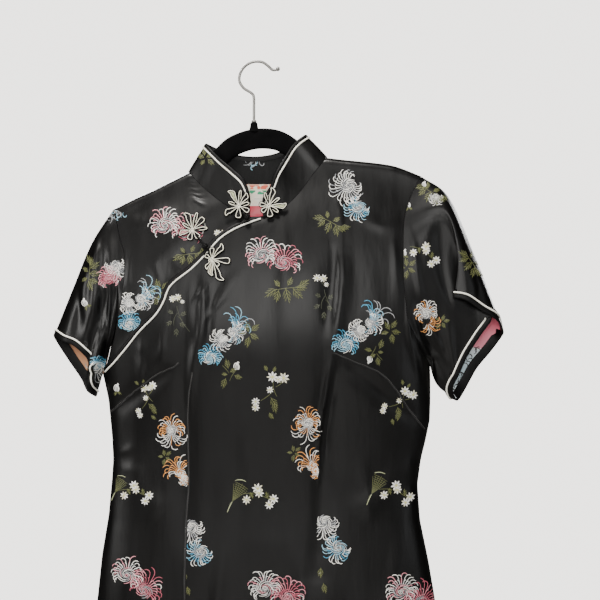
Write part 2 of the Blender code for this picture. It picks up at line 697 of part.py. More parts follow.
def collar():
    outer, out = collar_grid(COLLAR_COLUMNS, np.linspace(0, 1, 4))
    return add_object("collar", wall_mesh(outer, outer - COLLAR_WALL * out), "satin")


def strip_mesh(centre, normals, across, width, rise, rounded, closed=False):
    """A strip sewn on a surface: centre points, the surface's normals and the direction
    across the strip, a gap of SEAM under it."""
    half = width / 2
    shape = [(-1.0, 0.0), (-0.72, 0.72), (0.0, 1.0), (0.72, 0.72), (1.0, 0.0)] if rounded else \
        [(-1.0, 0.0), (-1.0, 1.0), (1.0, 1.0), (1.0, 0.0)]
    bm = bmesh.new()
    rings = []
    for c, n, a in zip(centre, normals, across):
        rings.append([bm.verts.new(c + a * (u * half) + n * (SEAM + v * rise)) for u, v in shape])
    count = len(rings)
    for i in range(count if closed else count - 1):
        one, two = rings[i], rings[(i + 1) % count]
        for k in range(len(shape)):
            m = (k + 1) % len(shape)
            bm.faces.new((one[k], one[m], two[m], two[k]))
    if not closed:
        bm.faces.new(rings[0])
        bm.faces.new(rings[-1])
    return bm


def opening_strips():
    """Piping and black binding along the slanting opening."""
    for name, out, width, rise, rounded, kind in (
            ("piping_opening", 0.0, PIPING_WIDTH, PIPING_RISE, True, "piping"),
            ("binding_opening", EDGE_BAND / 2 + BAND_SHIFT, BAND_WIDTH, BAND_RISE, False, "satin")):
        line = opening_edge(34, out=out)[1:-1]
        along = np.gradient(line, axis=0)
        along /= np.linalg.norm(along, axis=1)[:, None]
        centre = np.array([(x, front_y(x, z), z) for x, z in line])
        normals = np.array([slope_normal(front_y, x, z, -1) for x, z in line])
        across = np.cross(normals, np.column_stack([along[:, 0], np.zeros(len(line)), along[:, 1]]))
        across /= np.linalg.norm(across, axis=1)[:, None]
        add_object(name, strip_mesh(centre, normals, across, width, rise, rounded), kind)


def collar_strips():
    """Piping and binding along the collar's top edge."""
    foot, top, out = collar_curves(COLLAR_COLUMNS)
    up = top - foot
    height = np.linalg.norm(up, axis=1)[:, None]
    up /= height
    along = np.gradient(top, axis=0)
    normals = np.cross(along, up)
    normals /= np.linalg.norm(normals, axis=1)[:, None]
    normals *= np.sign(np.sum(normals * out, axis=1))[:, None]
    keep = slice(1, -1)
    for name, down, width, rise, rounded, kind in (
            ("piping_collar", EDGE_BAND, PIPING_WIDTH, PIPING_RISE, True, "piping"),
            ("binding_collar", EDGE_BAND / 2 - BAND_SHIFT, BAND_WIDTH, BAND_RISE, False, "satin")):
        centre = top - up * down + normals * SEAM
        add_object(name, strip_mesh(centre[keep], normals[keep], up[keep], width, rise, rounded), kind)


def cuff_strips(name):
    """Piping and binding round a cuff; they leave out the stretch hidden in the fold."""
    rings, normals = sleeve_rings(*SLEEVES[name])
    cuff, before = rings[-1], rings[-2]
    up = before - cuff
    up /= np.linalg.norm(up, axis=1)[:, None]
    count = len(cuff)
    if name == "sleeve_left":
        hidden_from, hidden_to = 4 * PER_SPAN, 7 * PER_SPAN + 1
        picked = [(hidden_to + k) % count for k in range(count - (hidden_to - hidden_from))]
    else:
        picked = list(range(count))
    side = name.split("_")[1]
    for strip, up_by, width, rise, rounded, kind in (
            ("piping_cuff_" + side, EDGE_BAND + CUFF_LIFT, PIPING_WIDTH, PIPING_RISE, True, "piping"),
            ("binding_cuff_" + side, EDGE_BAND / 2 - BAND_SHIFT, BAND_WIDTH, BAND_RISE, False, "satin")):
        centre = cuff + up * up_by
        bm = strip_mesh(centre[picked], normals[-1][picked], up[picked], width, rise, rounded,
                        closed=name == "sleeve_right")
        add_object(strip, bm, kind)


def tube(points, radii, sides):
    """A closed tube with flat ends along a path, all in one bmesh."""
    bm = bmesh.new()
    pts = np.asarray(points, float)
    along = np.gradient(pts, axis=0)
    along /= np.linalg.norm(along, axis=1)[:, None]
    rings = []
    for p, t, r in zip(pts, along, radii):
        first = np.cross(t, (0.0, 1.0, 0.0))
        first /= np.linalg.norm(first)
        second = np.cross(t, first)
        turn = [2 * math.pi * k / sides for k in range(sides)]
        rings.append([bm.verts.new(p + r * (math.cos(a) * first + math.sin(a) * second)) for a in turn])
    for one, two in zip(rings, rings[1:]):
        for k in range(sides):
            m = (k + 1) % sides
            bm.faces.new((one[k], one[m], two[m], two[k]))
    bm.faces.new(rings[0])
    bm.faces.new(rings[-1])
    return bm


def petal_path(length, half, tip):
    """A loop of cord in its own plane: out along one side and back along the other."""
    path = []
    steps = 7
    for k in range(steps + 1):
        t = k / steps
        reach = math.sin(math.pi * t)
        bulge = math.sin(2 * math.pi * t) * (0.55 + 0.45 * reach)
        stretch = length * (reach ** (0.8 if tip else 1.0))
        path.append((stretch, half * bulge))
    return path


def frog(name, x0, z0, turn, stand_off, flat):
    """A flower of cord loops round a small knot, laid over the panel under it."""
    def depth(x, z):
        return (FROG_FLAT_Y if flat else front_y(x, z)) - stand_off * MM - FROG_CORD

    loops = []
    for angle, length, half, tip in FROG_PETALS:
        a = math.radians(angle + turn)
        path = []
        for along, across in petal_path(length, half, tip):
            x = (x0 + along * math.cos(a) - across * math.sin(a)) * MM
            z = (z0 + along * math.sin(a) + across * math.cos(a)) * MM
            path.append((x, depth(x, z), z))
        loops.append(tube(path, [FROG_CORD] * len(path), 4))
    centre = (x0 * MM, depth(x0 * MM, z0 * MM), z0 * MM)
    knot = bmesh.new()
    bmesh.ops.create_uvsphere(knot, u_segments=10, v_segments=6, radius=FROG_KNOT)
    for vertex in knot.verts:
        vertex.co.y *= 0.5
        vertex.co += type(vertex.co)(centre)
    return union_object(name, knot, loops, "frog")


def union_object(name, body, others, kind):
    """Join closed meshes into one solid with a Boolean, then drop the helpers."""
    base = add_object(name, body, kind)
    helpers = bpy.data.collections.new(name + "_loops")
    for k, bm in enumerate(others):
        helper = add_object(name + "_loop_%d" % k, bm, kind)
        bpy.context.collection.objects.unlink(helper)
        helpers.objects.link(helper)
    joined = base.modifiers.new("join", "BOOLEAN")
    joined.operation = "UNION"
    joined.operand_type = "COLLECTION"
    joined.collection = helpers
    joined.solver = "EXACT"
    joined.use_self = True
    graph = bpy.context.evaluated_depsgraph_get()
    mesh = bpy.data.meshes.new_from_object(base.evaluated_get(graph))
    base.modifiers.clear()
    base.data = mesh
    mesh.shade_smooth()
    mesh.set_sharp_from_angle(angle=0.7)
    for helper in list(helpers.objects):
        bpy.data.objects.remove(helper)
    bpy.data.collections.remove(helpers)
    return base


def button_and_loop(name, points, ball_at):
    """A knotted button with the cord it is sewn or looped with."""
    path = smooth_curve(np.array(points) * MM, 9)
    knot = bmesh.new()
    bmesh.ops.create_uvsphere(knot, u_segments=12, v_segments=8, radius=BUTTON_RADIUS)
    for vertex in knot.verts:
        vertex.co += type(vertex.co)(np.array(ball_at) * MM)
    return union_object(name, knot, [tube(path, [BUTTON_CORD] * len(path), 6)], "satin")


def buttons():
    for name, x, z, stand in (("button_chest", -58.5, -221.5, 7.6), ("button_collar", -9.5, -187.0, 7.8)):
        y = front_y(x * MM, z * MM) / MM - stand
        if name == "button_chest":
            points = [(x - 11.5, y + 1.0, z + 14), (x - 5, y, z + 6.5), (x, y - 0.5, z), (x + 5, y, z - 6.0)]
        else:
            points = [(x - 6.0, y + 0.4, z + 5.5), (x - 3, y, z + 3), (x, y, z)]
        button_and_loop(name, points, (x, y - 0.5, z))


def label():
    """A woven label sewn flat inside the back neck, and a size tab under it."""
    for name, x0, x1, z0, z1, kind in (
            ("neck_label", -27, 33, -154, -178, "label"), ("size_tab", -7, 8, -179, -192, "tab")):
        columns, rows = 6, 3
        outer = np.zeros((rows, columns, 3))
        for i, z in enumerate(np.linspace(z0, z1, rows)):
            for j, x in enumerate(np.linspace(x0, x1, columns)):
                outer[i, j] = (x * MM, back_y(x * MM, z * MM) - WALL * 1.25 - SEAM, z * MM)
        inner = outer.copy()
        inner[:, :, 1] -= LABEL_THICK
        add_object(name, wall_mesh(outer, inner), kind)


def hanger_rows():
    """x, z and height along the hanger; the arms lie just under the shoulder seams."""
    def under_shoulder(x, height):
        slope = (shoulder_z(x + MM) - shoulder_z(x - MM)) / (2 * MM)
        return (x, shoulder_z(x) - WALL - REST_GAP - height / 2 * math.hypot(1, slope), height)

    arch = [tuple(v * MM for v in row) for row in HANGER_ARCH]
    left = [under_shoulder(x * MM, h * MM) for x, h in HANGER_LEFT_END]
    right = [under_shoulder(x * MM, h * MM) for x, h in HANGER_RIGHT_END]
    return left + arch + right


def hanger_body():
    """Flocked arms with rounded edges, and the neck that the hook's shank goes into."""
    path = smooth_curve(np.array(hanger_rows()), 30)
    sides = 10
    bm = bmesh.new()
    rings = []
    centre = path[:, :2]
    along = np.gradient(centre, axis=0)
    along /= np.linalg.norm(along, axis=1)[:, None]
    for (x, z, height), (dx, dz) in zip(path, along):
        up = np.array([-dz, 0.0, dx])
        ring = []
        for k in range(sides):
            a = 2 * math.pi * k / sides
            flat = max(height / 2 - HANGER_HALF_THICK, 0.0)
            rise = math.cos(a) * HANGER_HALF_THICK + (flat if math.cos(a) > 0 else -flat)
            ring.append(bm.verts.new(np.array([x, math.sin(a) * HANGER_HALF_THICK, z]) + up * rise))
        rings.append(ring)
    for one, two in zip(rings, rings[1:]):
        for k in range(sides):
            m = (k + 1) % sides
            bm.faces.new((one[k], one[m], two[m], two[k]))
    bm.faces.new(rings[0])
    bm.faces.new(rings[-1])
    neck = [(POST["x"] * MM, 0.0, z * MM) for z in (POST["foot"], -77, POST["top"])]
    neck_tube = tube(neck, [POST["foot_radius"] * MM, 5.4 * MM, POST["top_radius"] * MM], 12)
    for vertex in neck_tube.verts:
        vertex.co.y *= HANGER_NECK_FLAT
    return union_object("hanger_body", bm, [neck_tube], "velvet")


def hanger_hook():
    """The wire hook with the small ball at its tip."""
    points = [(x, 0.0, z) for x, z in smooth_curve(np.array(HOOK) * MM, 36)]
    radii = [HOOK_RADIUS] * len(points)
    ball = bmesh.new()
    bmesh.ops.create_uvsphere(ball, u_segments=12, v_segments=8, radius=HOOK_BALL)
    for vertex in ball.verts:
        vertex.co += type(vertex.co)(points[-1])
    return union_object("hanger_hook", tube(points, radii, 6), [ball], "steel")


def clear_scene():
    for obj in list(bpy.data.objects):
        bpy.data.objects.remove(obj)


clear_scene()
LAP_LINE = opening_edge(120)
FROG_FLAT_Y = front_y(COLLAR[0][0] * MM, COLLAR[0][1] * MM)
front_main()
front_underlap()
back_panel()
for sleeve_name in SLEEVES:
    sleeve(sleeve_name)
    cuff_strips(sleeve_name)
collar()
collar_strips()
opening_strips()
for row in FROGS:
    frog(*row)
buttons()
label()
hanger_body()
hanger_hook()
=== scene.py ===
"""How the cheongsam on its hanger looks: satin, woven flowers, piping, frogs and hanger.

Metres, +Z up, front towards -Y, the same frame as the solids. The cloth pieces are thin
shells on the solids' own surfaces, worked out from the same tables, with creases added.
"""

import math
import random
from functools import partial

import bmesh
import bpy
import numpy as np
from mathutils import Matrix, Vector
from mathutils.bvhtree import BVHTree


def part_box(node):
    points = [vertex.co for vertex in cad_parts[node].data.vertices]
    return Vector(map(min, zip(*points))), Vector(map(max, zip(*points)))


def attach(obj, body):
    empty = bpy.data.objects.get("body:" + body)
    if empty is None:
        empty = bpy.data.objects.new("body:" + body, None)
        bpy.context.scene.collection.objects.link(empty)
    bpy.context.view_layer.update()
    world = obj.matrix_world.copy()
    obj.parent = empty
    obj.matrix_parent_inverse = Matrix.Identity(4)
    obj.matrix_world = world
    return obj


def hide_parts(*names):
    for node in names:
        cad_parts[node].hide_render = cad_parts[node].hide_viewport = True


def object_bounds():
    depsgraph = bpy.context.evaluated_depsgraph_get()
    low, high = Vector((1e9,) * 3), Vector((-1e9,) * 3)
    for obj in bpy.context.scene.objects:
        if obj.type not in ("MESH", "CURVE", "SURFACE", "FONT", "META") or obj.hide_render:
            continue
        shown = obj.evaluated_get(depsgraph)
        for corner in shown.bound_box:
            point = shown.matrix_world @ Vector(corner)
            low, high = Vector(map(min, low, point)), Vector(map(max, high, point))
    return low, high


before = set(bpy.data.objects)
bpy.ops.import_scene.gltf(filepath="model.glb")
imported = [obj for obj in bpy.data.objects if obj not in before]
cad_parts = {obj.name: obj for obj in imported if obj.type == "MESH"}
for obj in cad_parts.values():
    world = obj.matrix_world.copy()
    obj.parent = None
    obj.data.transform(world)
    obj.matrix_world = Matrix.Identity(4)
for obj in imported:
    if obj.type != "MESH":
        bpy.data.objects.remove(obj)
CAD_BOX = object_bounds()

MM = 0.001
WALL = 1.0 * MM           # thickness of the shells
CLOTH = 1.5 * MM          # thickness of the solids' cloth
SEAM = 0.3 * MM           # gap between two pieces where they are sewn
HALF_SEAM = SEAM / 2
ARM_GAP = 0.5 * MM        # between a sleeve's top and the armhole
RIDGE = 5.4 * MM          # depth of each face just below the shoulder's edge
RIDGE_DROP = 1.7 * MM     # how soon below the edge that depth is reached
FILL_DROP = 55 * MM       # how soon below the shoulders the body's depth is reached
LAP_INSET = 2.6 * MM      # how far the underlap lies behind the front
LAP_FADE = 34 * MM        # distance over which it comes forward again
LAP_WIDTH = 22 * MM       # how far it runs on below the opening
LAP_FOOT_Z = -396 * MM
LAP_CLEAR_Z = -345 * MM   # below here its side keeps clear of the side seam
LAP_CLEAR = 3.6 * MM
LAP_CLEAR_FADE = 24 * MM
LAP_SEAM_Z = -368 * MM    # below here it is sewn into the side seam
SEAM_EASE = 30 * MM       # how soon below the underarm a side reaches the outline
SLIT_TOP = -905 * MM
SLIT_OPEN = 7 * MM        # how far each side of a slit stands off at the hem
HEM_Z = -1120 * MM
EDGE_BAND = 5 * MM        # width of the black band between an edge and its piping
BUTTON_RADIUS = 4.0 * MM

# Side outline of the dress, up to the shoulders; above the underarm it runs inside the
# sleeves and only shapes the depth. Millimetres.
BODY = [
    # z, left x, right x, front depth, back depth
    (-110, -176, 206, 12, 9),
    (-170, -192, 216, 26, 15),
    (-240, -200, 221, 36, 18),
    (-310, -196, 220, 43, 18),
    (-360, -184, 211, 42, 17),
    (-404, -176, 210, 36, 16),
    (-428, -174, 209, 33, 15),
    (-452, -172, 204, 30, 15),
    (-476, -171, 198, 28, 15),
    (-506, -173, 194, 27, 16),
    (-548, -177, 197, 29, 19),
    (-596, -185, 207, 32, 22),
    (-643, -190, 215, 34, 24),
    (-700, -197, 222, 34, 24),
    (-770, -199, 224, 32, 22),
    (-905, -194, 218, 29, 20),
    (-1120, -186, 208, 26, 18),
]
SHOULDER_LEFT = [(-170.4, -175.5), (-148.8, -164.4), (-122.4, -152.4), (-98.4, -140.4), (-80.4, -131.5)]
SHOULDER_RIGHT = [(85.2, -114), (105.6, -116.4), (141.6, -120), (164.4, -123.5), (181, -129),
                  (198.7, -136.3)]
NECK_FRONT_LEFT = [(-80.4, -131.5), (-70, -142.5), (-58.8, -153.6), (-45.6, -164.4), (-30, -175),
                   (-8, -186)]
NECK_FRONT_RIGHT = [(-8, -186), (14, -184), (34.8, -173.4), (46.8, -163.2), (57.6, -150),
                    (69.6, -133.2), (85.2, -114)]
NECK_BACK = [(-80.4, -131.5), (-55, -145), (-25, -151.5), (2, -152), (30, -147), (60, -133),
             (85.2, -114)]
# Piping of the slanting opening, from the underarm to the neck.
OPENING = [(-180, -371), (-166.8, -358), (-152.4, -341.5), (-135.6, -321), (-117.6, -303),
           (-108, -288), (-100.8, -270), (-90, -259.5), (-75.6, -248.4), (-58.8, -231.6),
           (-42, -212.4), (-24, -200.4), (-2, -191)]
OPENING_FOOT = (-183.2, -374.5)
ARM_LEFT_FRONT = [(-170.4, -175.5), (-166.8, -186), (-162, -208.8), (-156, -228), (-154.8, -243.6),
                  (-155.3, -260.4), (-160, -292), (-166.8, -324), (-174.6, -349.2), (-181.5, -370)]
ARM_RIGHT_FRONT = [(198.7, -136.3), (189.1, -152.4), (181.2, -171.6), (176.4, -190.8),
                   (175.2, -220.8), (175.2, -255.6), (177.6, -285.6), (180, -307.2), (189.6, -327.6),
                   (198, -345.6), (209, -358)]
ARM_LEFT_BACK = [(-170.4, -175.5), (-169, -200), (-167, -235), (-167, -270), (-170, -310),
                 (-176, -345), (-181.5, -370)]
ARM_RIGHT_BACK = [(198.7, -136.3), (194, -165), (190, -200), (188, -240), (190, -285), (197, -325),
                  (209, -358)]

# Darts are shallow troughs: ends in mm, trough depth and half width in mm.
FRONT_DARTS = [
    # x0, z0, x1, z1, depth, half width
    (-92, -359, -172, -420, 2.6, 9),
    (98, -350, 196, -432, 2.6, 9),
    (-80, -290, -82, -610, 2.4, 12),
    (88, -357, 74, -620, 2.4, 12),
]
BACK_DARTS = [
    (-76, -330, -80, -640, 2.2, 11),
    (84, -330, 84, -640, 2.2, 11),
]
# Soft ridges of the hanging cloth: a line, its rise (negative: trough) and half width, mm.
FRONT_FOLDS = [
    (-40, -640, -60, -1120, 4.5, 38),
    (66, -600, 96, -1120, 5.0, 42),
    (16, -560, 18, -1120, -3.5, 34),
    (62, -200, 30, -520, 2.2, 26),
    (196, -470, 120, -540, 2.0, 14),
    (-168, -480, -110, -540, 1.8, 14),
]
BACK_FOLDS = [
    (-60, -560, -88, -1120, 4.0, 40),
    (60, -600, 90, -1120, 4.0, 40),
    (4, -620, 2, -1120, -3.0, 34),
]

# Each row of a sleeve is one line from armhole to cuff: its share of the armhole's length,
# then x, z, y at an upper ring, a middle ring and the cuff, in mm.
LEFT_SLEEVE_FRONT = [
    # share, upper x, z, y, middle x, z, y, cuff x, z, y
    (0.00, 231, -161, 0, 262, -229, 0, 297, -322, 0),
    (0.05, 230, -167, -10, 259, -235, -12, 289, -309, -14),
    (0.10, 228, -171, -14, 253, -236, -18, 270, -298, -21),
    (0.16, 226, -174, -16, 246, -234, -21, 250, -285, -24.5),
    (0.22, 224, -177, -17, 240, -230, -20.5, 236, -282, -22.5),
    (0.27, 222, -183, -17, 244, -237, -17, 250, -284, -19.5),
    (0.33, 218, -191, -17, 248, -245, -14, 268, -293, -17),
    (0.42, 211, -210, -19, 248, -256, -12.5, 281, -306, -12.5),
    (0.56, 203, -256, -22, 238, -278, -16, 267, -328, -11.5),
    (0.68, 203, -290, -22, 230, -305, -17, 253, -350, -11.5),
    (0.80, 205, -318, -19, 222, -333, -15, 243, -372, -11),
    (0.92, 209, -346, -11, 218, -362, -9, 235, -391, -7),
    (1.00, 212, -374, 0, 220, -389, 0, 241, -405, 0),
]
LEFT_SLEEVE_BACK = [
    (0.85, 213, -335, 10, 227, -357, 9, 251, -393, 8),
    (0.65, 216, -285, 13, 237, -312, 12, 266, -367, 11),
    (0.45, 220, -240, 14, 247, -280, 13, 281, -349, 12),
    (0.25, 225, -200, 13, 255, -252, 13, 291, -336, 11),
    (0.08, 229, -174, 9, 260, -237, 9, 296, -328, 7),
]
RIGHT_SLEEVE_FRONT = [
    (0.00, -197, -217, 0, -219, -270, 0, -242, -327, 0),
    (0.15, -190, -226, -12, -211, -278, -13, -230, -333, -12),
    (0.30, -182, -240, -17, -203, -286, -18, -217, -338, -16),
    (0.45, -175, -258, -21, -195, -299, -21, -206, -347, -17),
    (0.58, -170, -276, -19, -188, -313, -17, -199, -357, -13.5),
    (0.68, -170, -296, -18, -186, -331, -18, -200, -372, -15),
    (0.80, -174, -320, -16, -188, -351, -18, -200, -388, -16),
    (0.92, -179, -345, -9, -188, -369, -12, -195, -396, -11),
    (1.00, -185, -378, 0, -188, -389, 0, -192, -400, 0),
]
RIGHT_SLEEVE_BACK = [
    (0.85, -184, -348, 9, -192, -369, 9, -203, -394, 8),
    (0.60, -184, -308, 12, -199, -341, 12, -211, -379, 11),
    (0.35, -189, -262, 12, -209, -306, 12, -226, -357, 11),
    (0.12, -195, -230, 8, -216, -281, 8, -239, -336, 7),
]
# The collar runs from the wearer's right front corner round the back to the left one.
# Foot and top edge, mm; top_out is how far the top edge stands off the foot in depth.
COLLAR = [
    # foot x, foot z, top x, top z, side (-1 front, +1 back), top_out
    (-9, -185.5, -8, -171, -1, -2.0),
    (-16, -182.5, -7.5, -159, -1, -3.0),
    (-30, -174.4, -14, -142, -1, -3.0),
    (-45.6, -163.8, -26, -130, -1, -2.0),
    (-58.8, -153.0, -41, -117, -1, 0.0),
    (-70, -141.9, -53, -105, -1, 1.0),
    (-80.9, -130.5, -60, -97, 0, 0.0),
    (-66, -137.4, -52, -100.5, 1, 0.0),
    (-42, -147.4, -34, -107.5, 1, 1.0),
    (-18, -151.4, -15, -111.5, 1, 1.0),
    (4, -151.4, 4, -112, 1, 1.0),
    (28, -147.0, 25, -108, 1, 1.0),
    (52, -136.5, 44, -98, 1, 1.0),
    (71, -124, 55, -89.5, 1, 0.0),
    (86.0, -112.9, 60, -86.5, 0, 0.0),
    (77, -123, 52, -92, -1, 1.0),
    (69.6, -132.4, 43, -101, -1, 1.0),
    (57.6, -149.2, 33, -118, -1, 0.0),
    (46.8, -162.5, 24.5, -133, -1, -2.0),
    (34.8, -172.8, 18.5, -149, -1, -3.0),
    (20, -181.0, 10, -163, -1, -3.0),
    (9, -184.2, 9, -173, -1, -2.0),
]
COLLAR_WALL = 2.0 * MM

# Hanger: the arch over the neck as x, z and height, then the arms under the shoulders as
# x and height; their z follows the shoulder line. Millimetres.
HANGER_ARCH = [
    (-78, -148, 17), (-66, -138.5, 18), (-55, -125.5, 20.5), (-42, -112.5, 22), (-26, -99.5, 24),
    (-2, -91.5, 24.5), (22, -92, 24.5), (40, -100, 23), (58, -114, 19.5), (75, -129, 16.5),
]
HANGER_LEFT_END = [(-142, 7.5), (-128, 11), (-110, 14.5), (-93, 16)]
HANGER_RIGHT_END = [(97, 16), (112, 15), (136, 13), (158, 10), (176, 7.5)]
REST_GAP = 0.8 * MM       # between the arms and the cloth that hangs on them
HANGER_HALF_THICK = 2.5 * MM
POST = dict(x=-2.2, foot=-82.0, top=-71.5, foot_radius=6.2, top_radius=4.2)
HOOK_RADIUS = 1.65 * MM
HOOK = [
    # x, z of the wire's centre line, mm
    (-2.2, -71.2), (-2.2, -55), (-2.4, -41), (-5.6, -36.0), (-14.6, -30.2), (-19.6, -21.8),
    (-18.6, -12.4), (-13.4, -4.4), (-6.2, 0.2), (1, 1.65), (8.4, 0.6), (14.6, -3.6), (19.4, -8.0),
    (23.2, -8.4), (26.4, -7.2),
]
HOOK_BALL = 2.7 * MM
FERRULE = ((-71.4, 2.4), (-70.6, 3.0), (-69.4, 3.0), (-68.6, 2.4))   # z and radius, mm

FROG_CORD = 1.25 * MM     # how far a frog's middle lies above what it stands on
PETAL_RADIUS = 1.45 * MM  # of the black cord, and how flat it is
PETAL_FLAT = 0.62
CREAM_THIN, CREAM_FULL = 0.22, 0.25      # mm: radius of the cream cord at its ends, and added
FROG_RINGS = ((0.0, 0.0, 1.8), (-2.4, -1.6, 1.3))   # x, z and radius of the knot's turns, mm
RING_RADIUS = 0.47 * MM   # of their cream cord, and of the black one under it
RING_UNDER = 1.3 * MM
BUTTON_SHARE = 0.94       # of its solid's radius, before its raised turns
BUTTON_CORD = 1.25 * MM

# Motifs as the camera sees them: kind, x, z in mm and, where they aren't 0 and 1, turn in
# degrees and size.
FRONT_MOTIFS = [
    ("pink_pair", 7, -228), ("leaf_spray", 37, -270, 0, 1.15), ("small_daisies", 77, -258),
    ("vine", 82, -284), ("star_flower", 107, -150), ("teal_flower", 119, -175, 0, 0.95),
    ("leaf_spray", 91, -191, -35, 0.95), ("tailed", -32, -322), ("blue_flower", -54, -348),
    ("small_spray", -8, -325, 0, 1.1), ("bud_spray", -29, -366), ("tailed", 133, -311),
    ("blue_flower", 108, -332, 0, 1.15), ("small_spray", 162, -322, 20, 1.0),
    ("bud_spray", 142, -354, 180, 0.9), ("white_orange", -101, -443), ("orange_flower", -94, -484),
    ("small_spray", -109, -473, 0, 0.7), ("white_orange", 62, -434), ("orange_flower", 65, -476),
    ("small_spray", 46, -468, 0, 0.7), ("daisy_spray", 20, -377),
    ("daisy_spray", -134, -390, 20, 0.8), ("daisy_spray", 179, -394, -20, 0.85),
    ("bud", -167, -389), ("fan_leaf", -22, -514), ("daisy_trio", 2, -515), ("fan_leaf", 145, -505),
    ("daisy_trio", 168, -511, -8, 1.0), ("fan_leaf", -164, -506, 0, 0.8),
    ("daisy_trio", -146, -511, 0, 0.95), ("white_flower", -77, -562, 0, 0.95),
    ("teal_flower", -71, -588), ("shoot", -85, -617, 0, 0.9), ("white_flower", 83, -557),
    ("teal_flower", 94, -584, 0, 1.05), ("shoot", 78, -612), ("pink_pair", -154, -612, -20, 1.0),
    ("pink_pair", 11, -628), ("pink_pair", 175, -632, -10, 1.0),
    ("small_daisies", -97, -282, 20, 0.9), ("vine", -95, -304),
]
UNDERLAP_MOTIFS = [
    ("pink_pair", -109, -192), ("leaf_spray", -79, -229, 0, 0.9),
    ("small_daisies", -43, -204, 0, 0.9), ("tailed", -142, -281, -14, 1.0),
    ("blue_flower", -151, -308), ("small_spray", -116, -275, 0, 1.2),
    ("scroll", -166, -182, 0, 0.8),
]
LEFT_SLEEVE_MOTIFS = [
    ("leaf_spray", 211, -155, -40, 0.9), ("white_flower", 217, -164, 0, 0.5),
    ("bud", 182, -170, 0, 0.8), ("daisy_trio", 203, -224, -20, 0.9), ("bud", 178, -227, 0, 0.8),
    ("small_spray", 182, -246, 0, 0.9), ("curled", 206, -306, -30, 0.95),
    ("small_spray", 223, -311, -30, 0.7), ("leaf_spray", 260, -240, -60, 0.9),
    ("wrong_side", 263, -353, 0, 0.8), ("wrong_side", 257, -362, 30, 0.8),
    ("wrong_side", 251, -372, 60, 0.8), ("wrong_side", 246, -380, 20, 0.7),
    ("wrong_side", 240, -390, 0, 0.7), ("bud", 202, -145, 0, 0.7),
]
RIGHT_SLEEVE_MOTIFS = [
    ("scroll", -173, -184, 60, 0.9), ("white_flower", -166, -248, 20, 0.8),
    ("rose_flower", -176, -259, 0, 0.9), ("leaf_spray", -200, -252, 80, 0.9),
    ("bud", -206, -287, 30, 1.0), ("white_flower", -190, -371, 0, 0.9),
    ("blue_flower", -191, -359, 20, 0.7), ("wrong_side", -206, -347, 40, 0.8),
]
COLLAR_MOTIFS = [
    ("scroll", -5, -119, 0, 1.1), ("small_spray", -60, -114, 60, 0.9),
]
# Sewn lines of the front's darts; the waist darts take up the flowers that cross them.
FRONT_SEAMS = {
    "waist_left": [(94, -266), (91, -320), (90, -352), (83, -407), (78, -456), (74, -505), (73, -575),
                   (72, -644)],
    "waist_right": [(-77, -371), (-82, -418), (-81, -505), (-84, -546), (-86, -610), (-86, -644)],
    "bust_left": [(92, -348), (116, -358), (148, -372), (166, -390), (182, -414), (202, -440)],
    "bust_right": [(-173, -419), (-152, -400), (-134, -386), (-118, -374), (-98, -365), (-92, -360)],
}


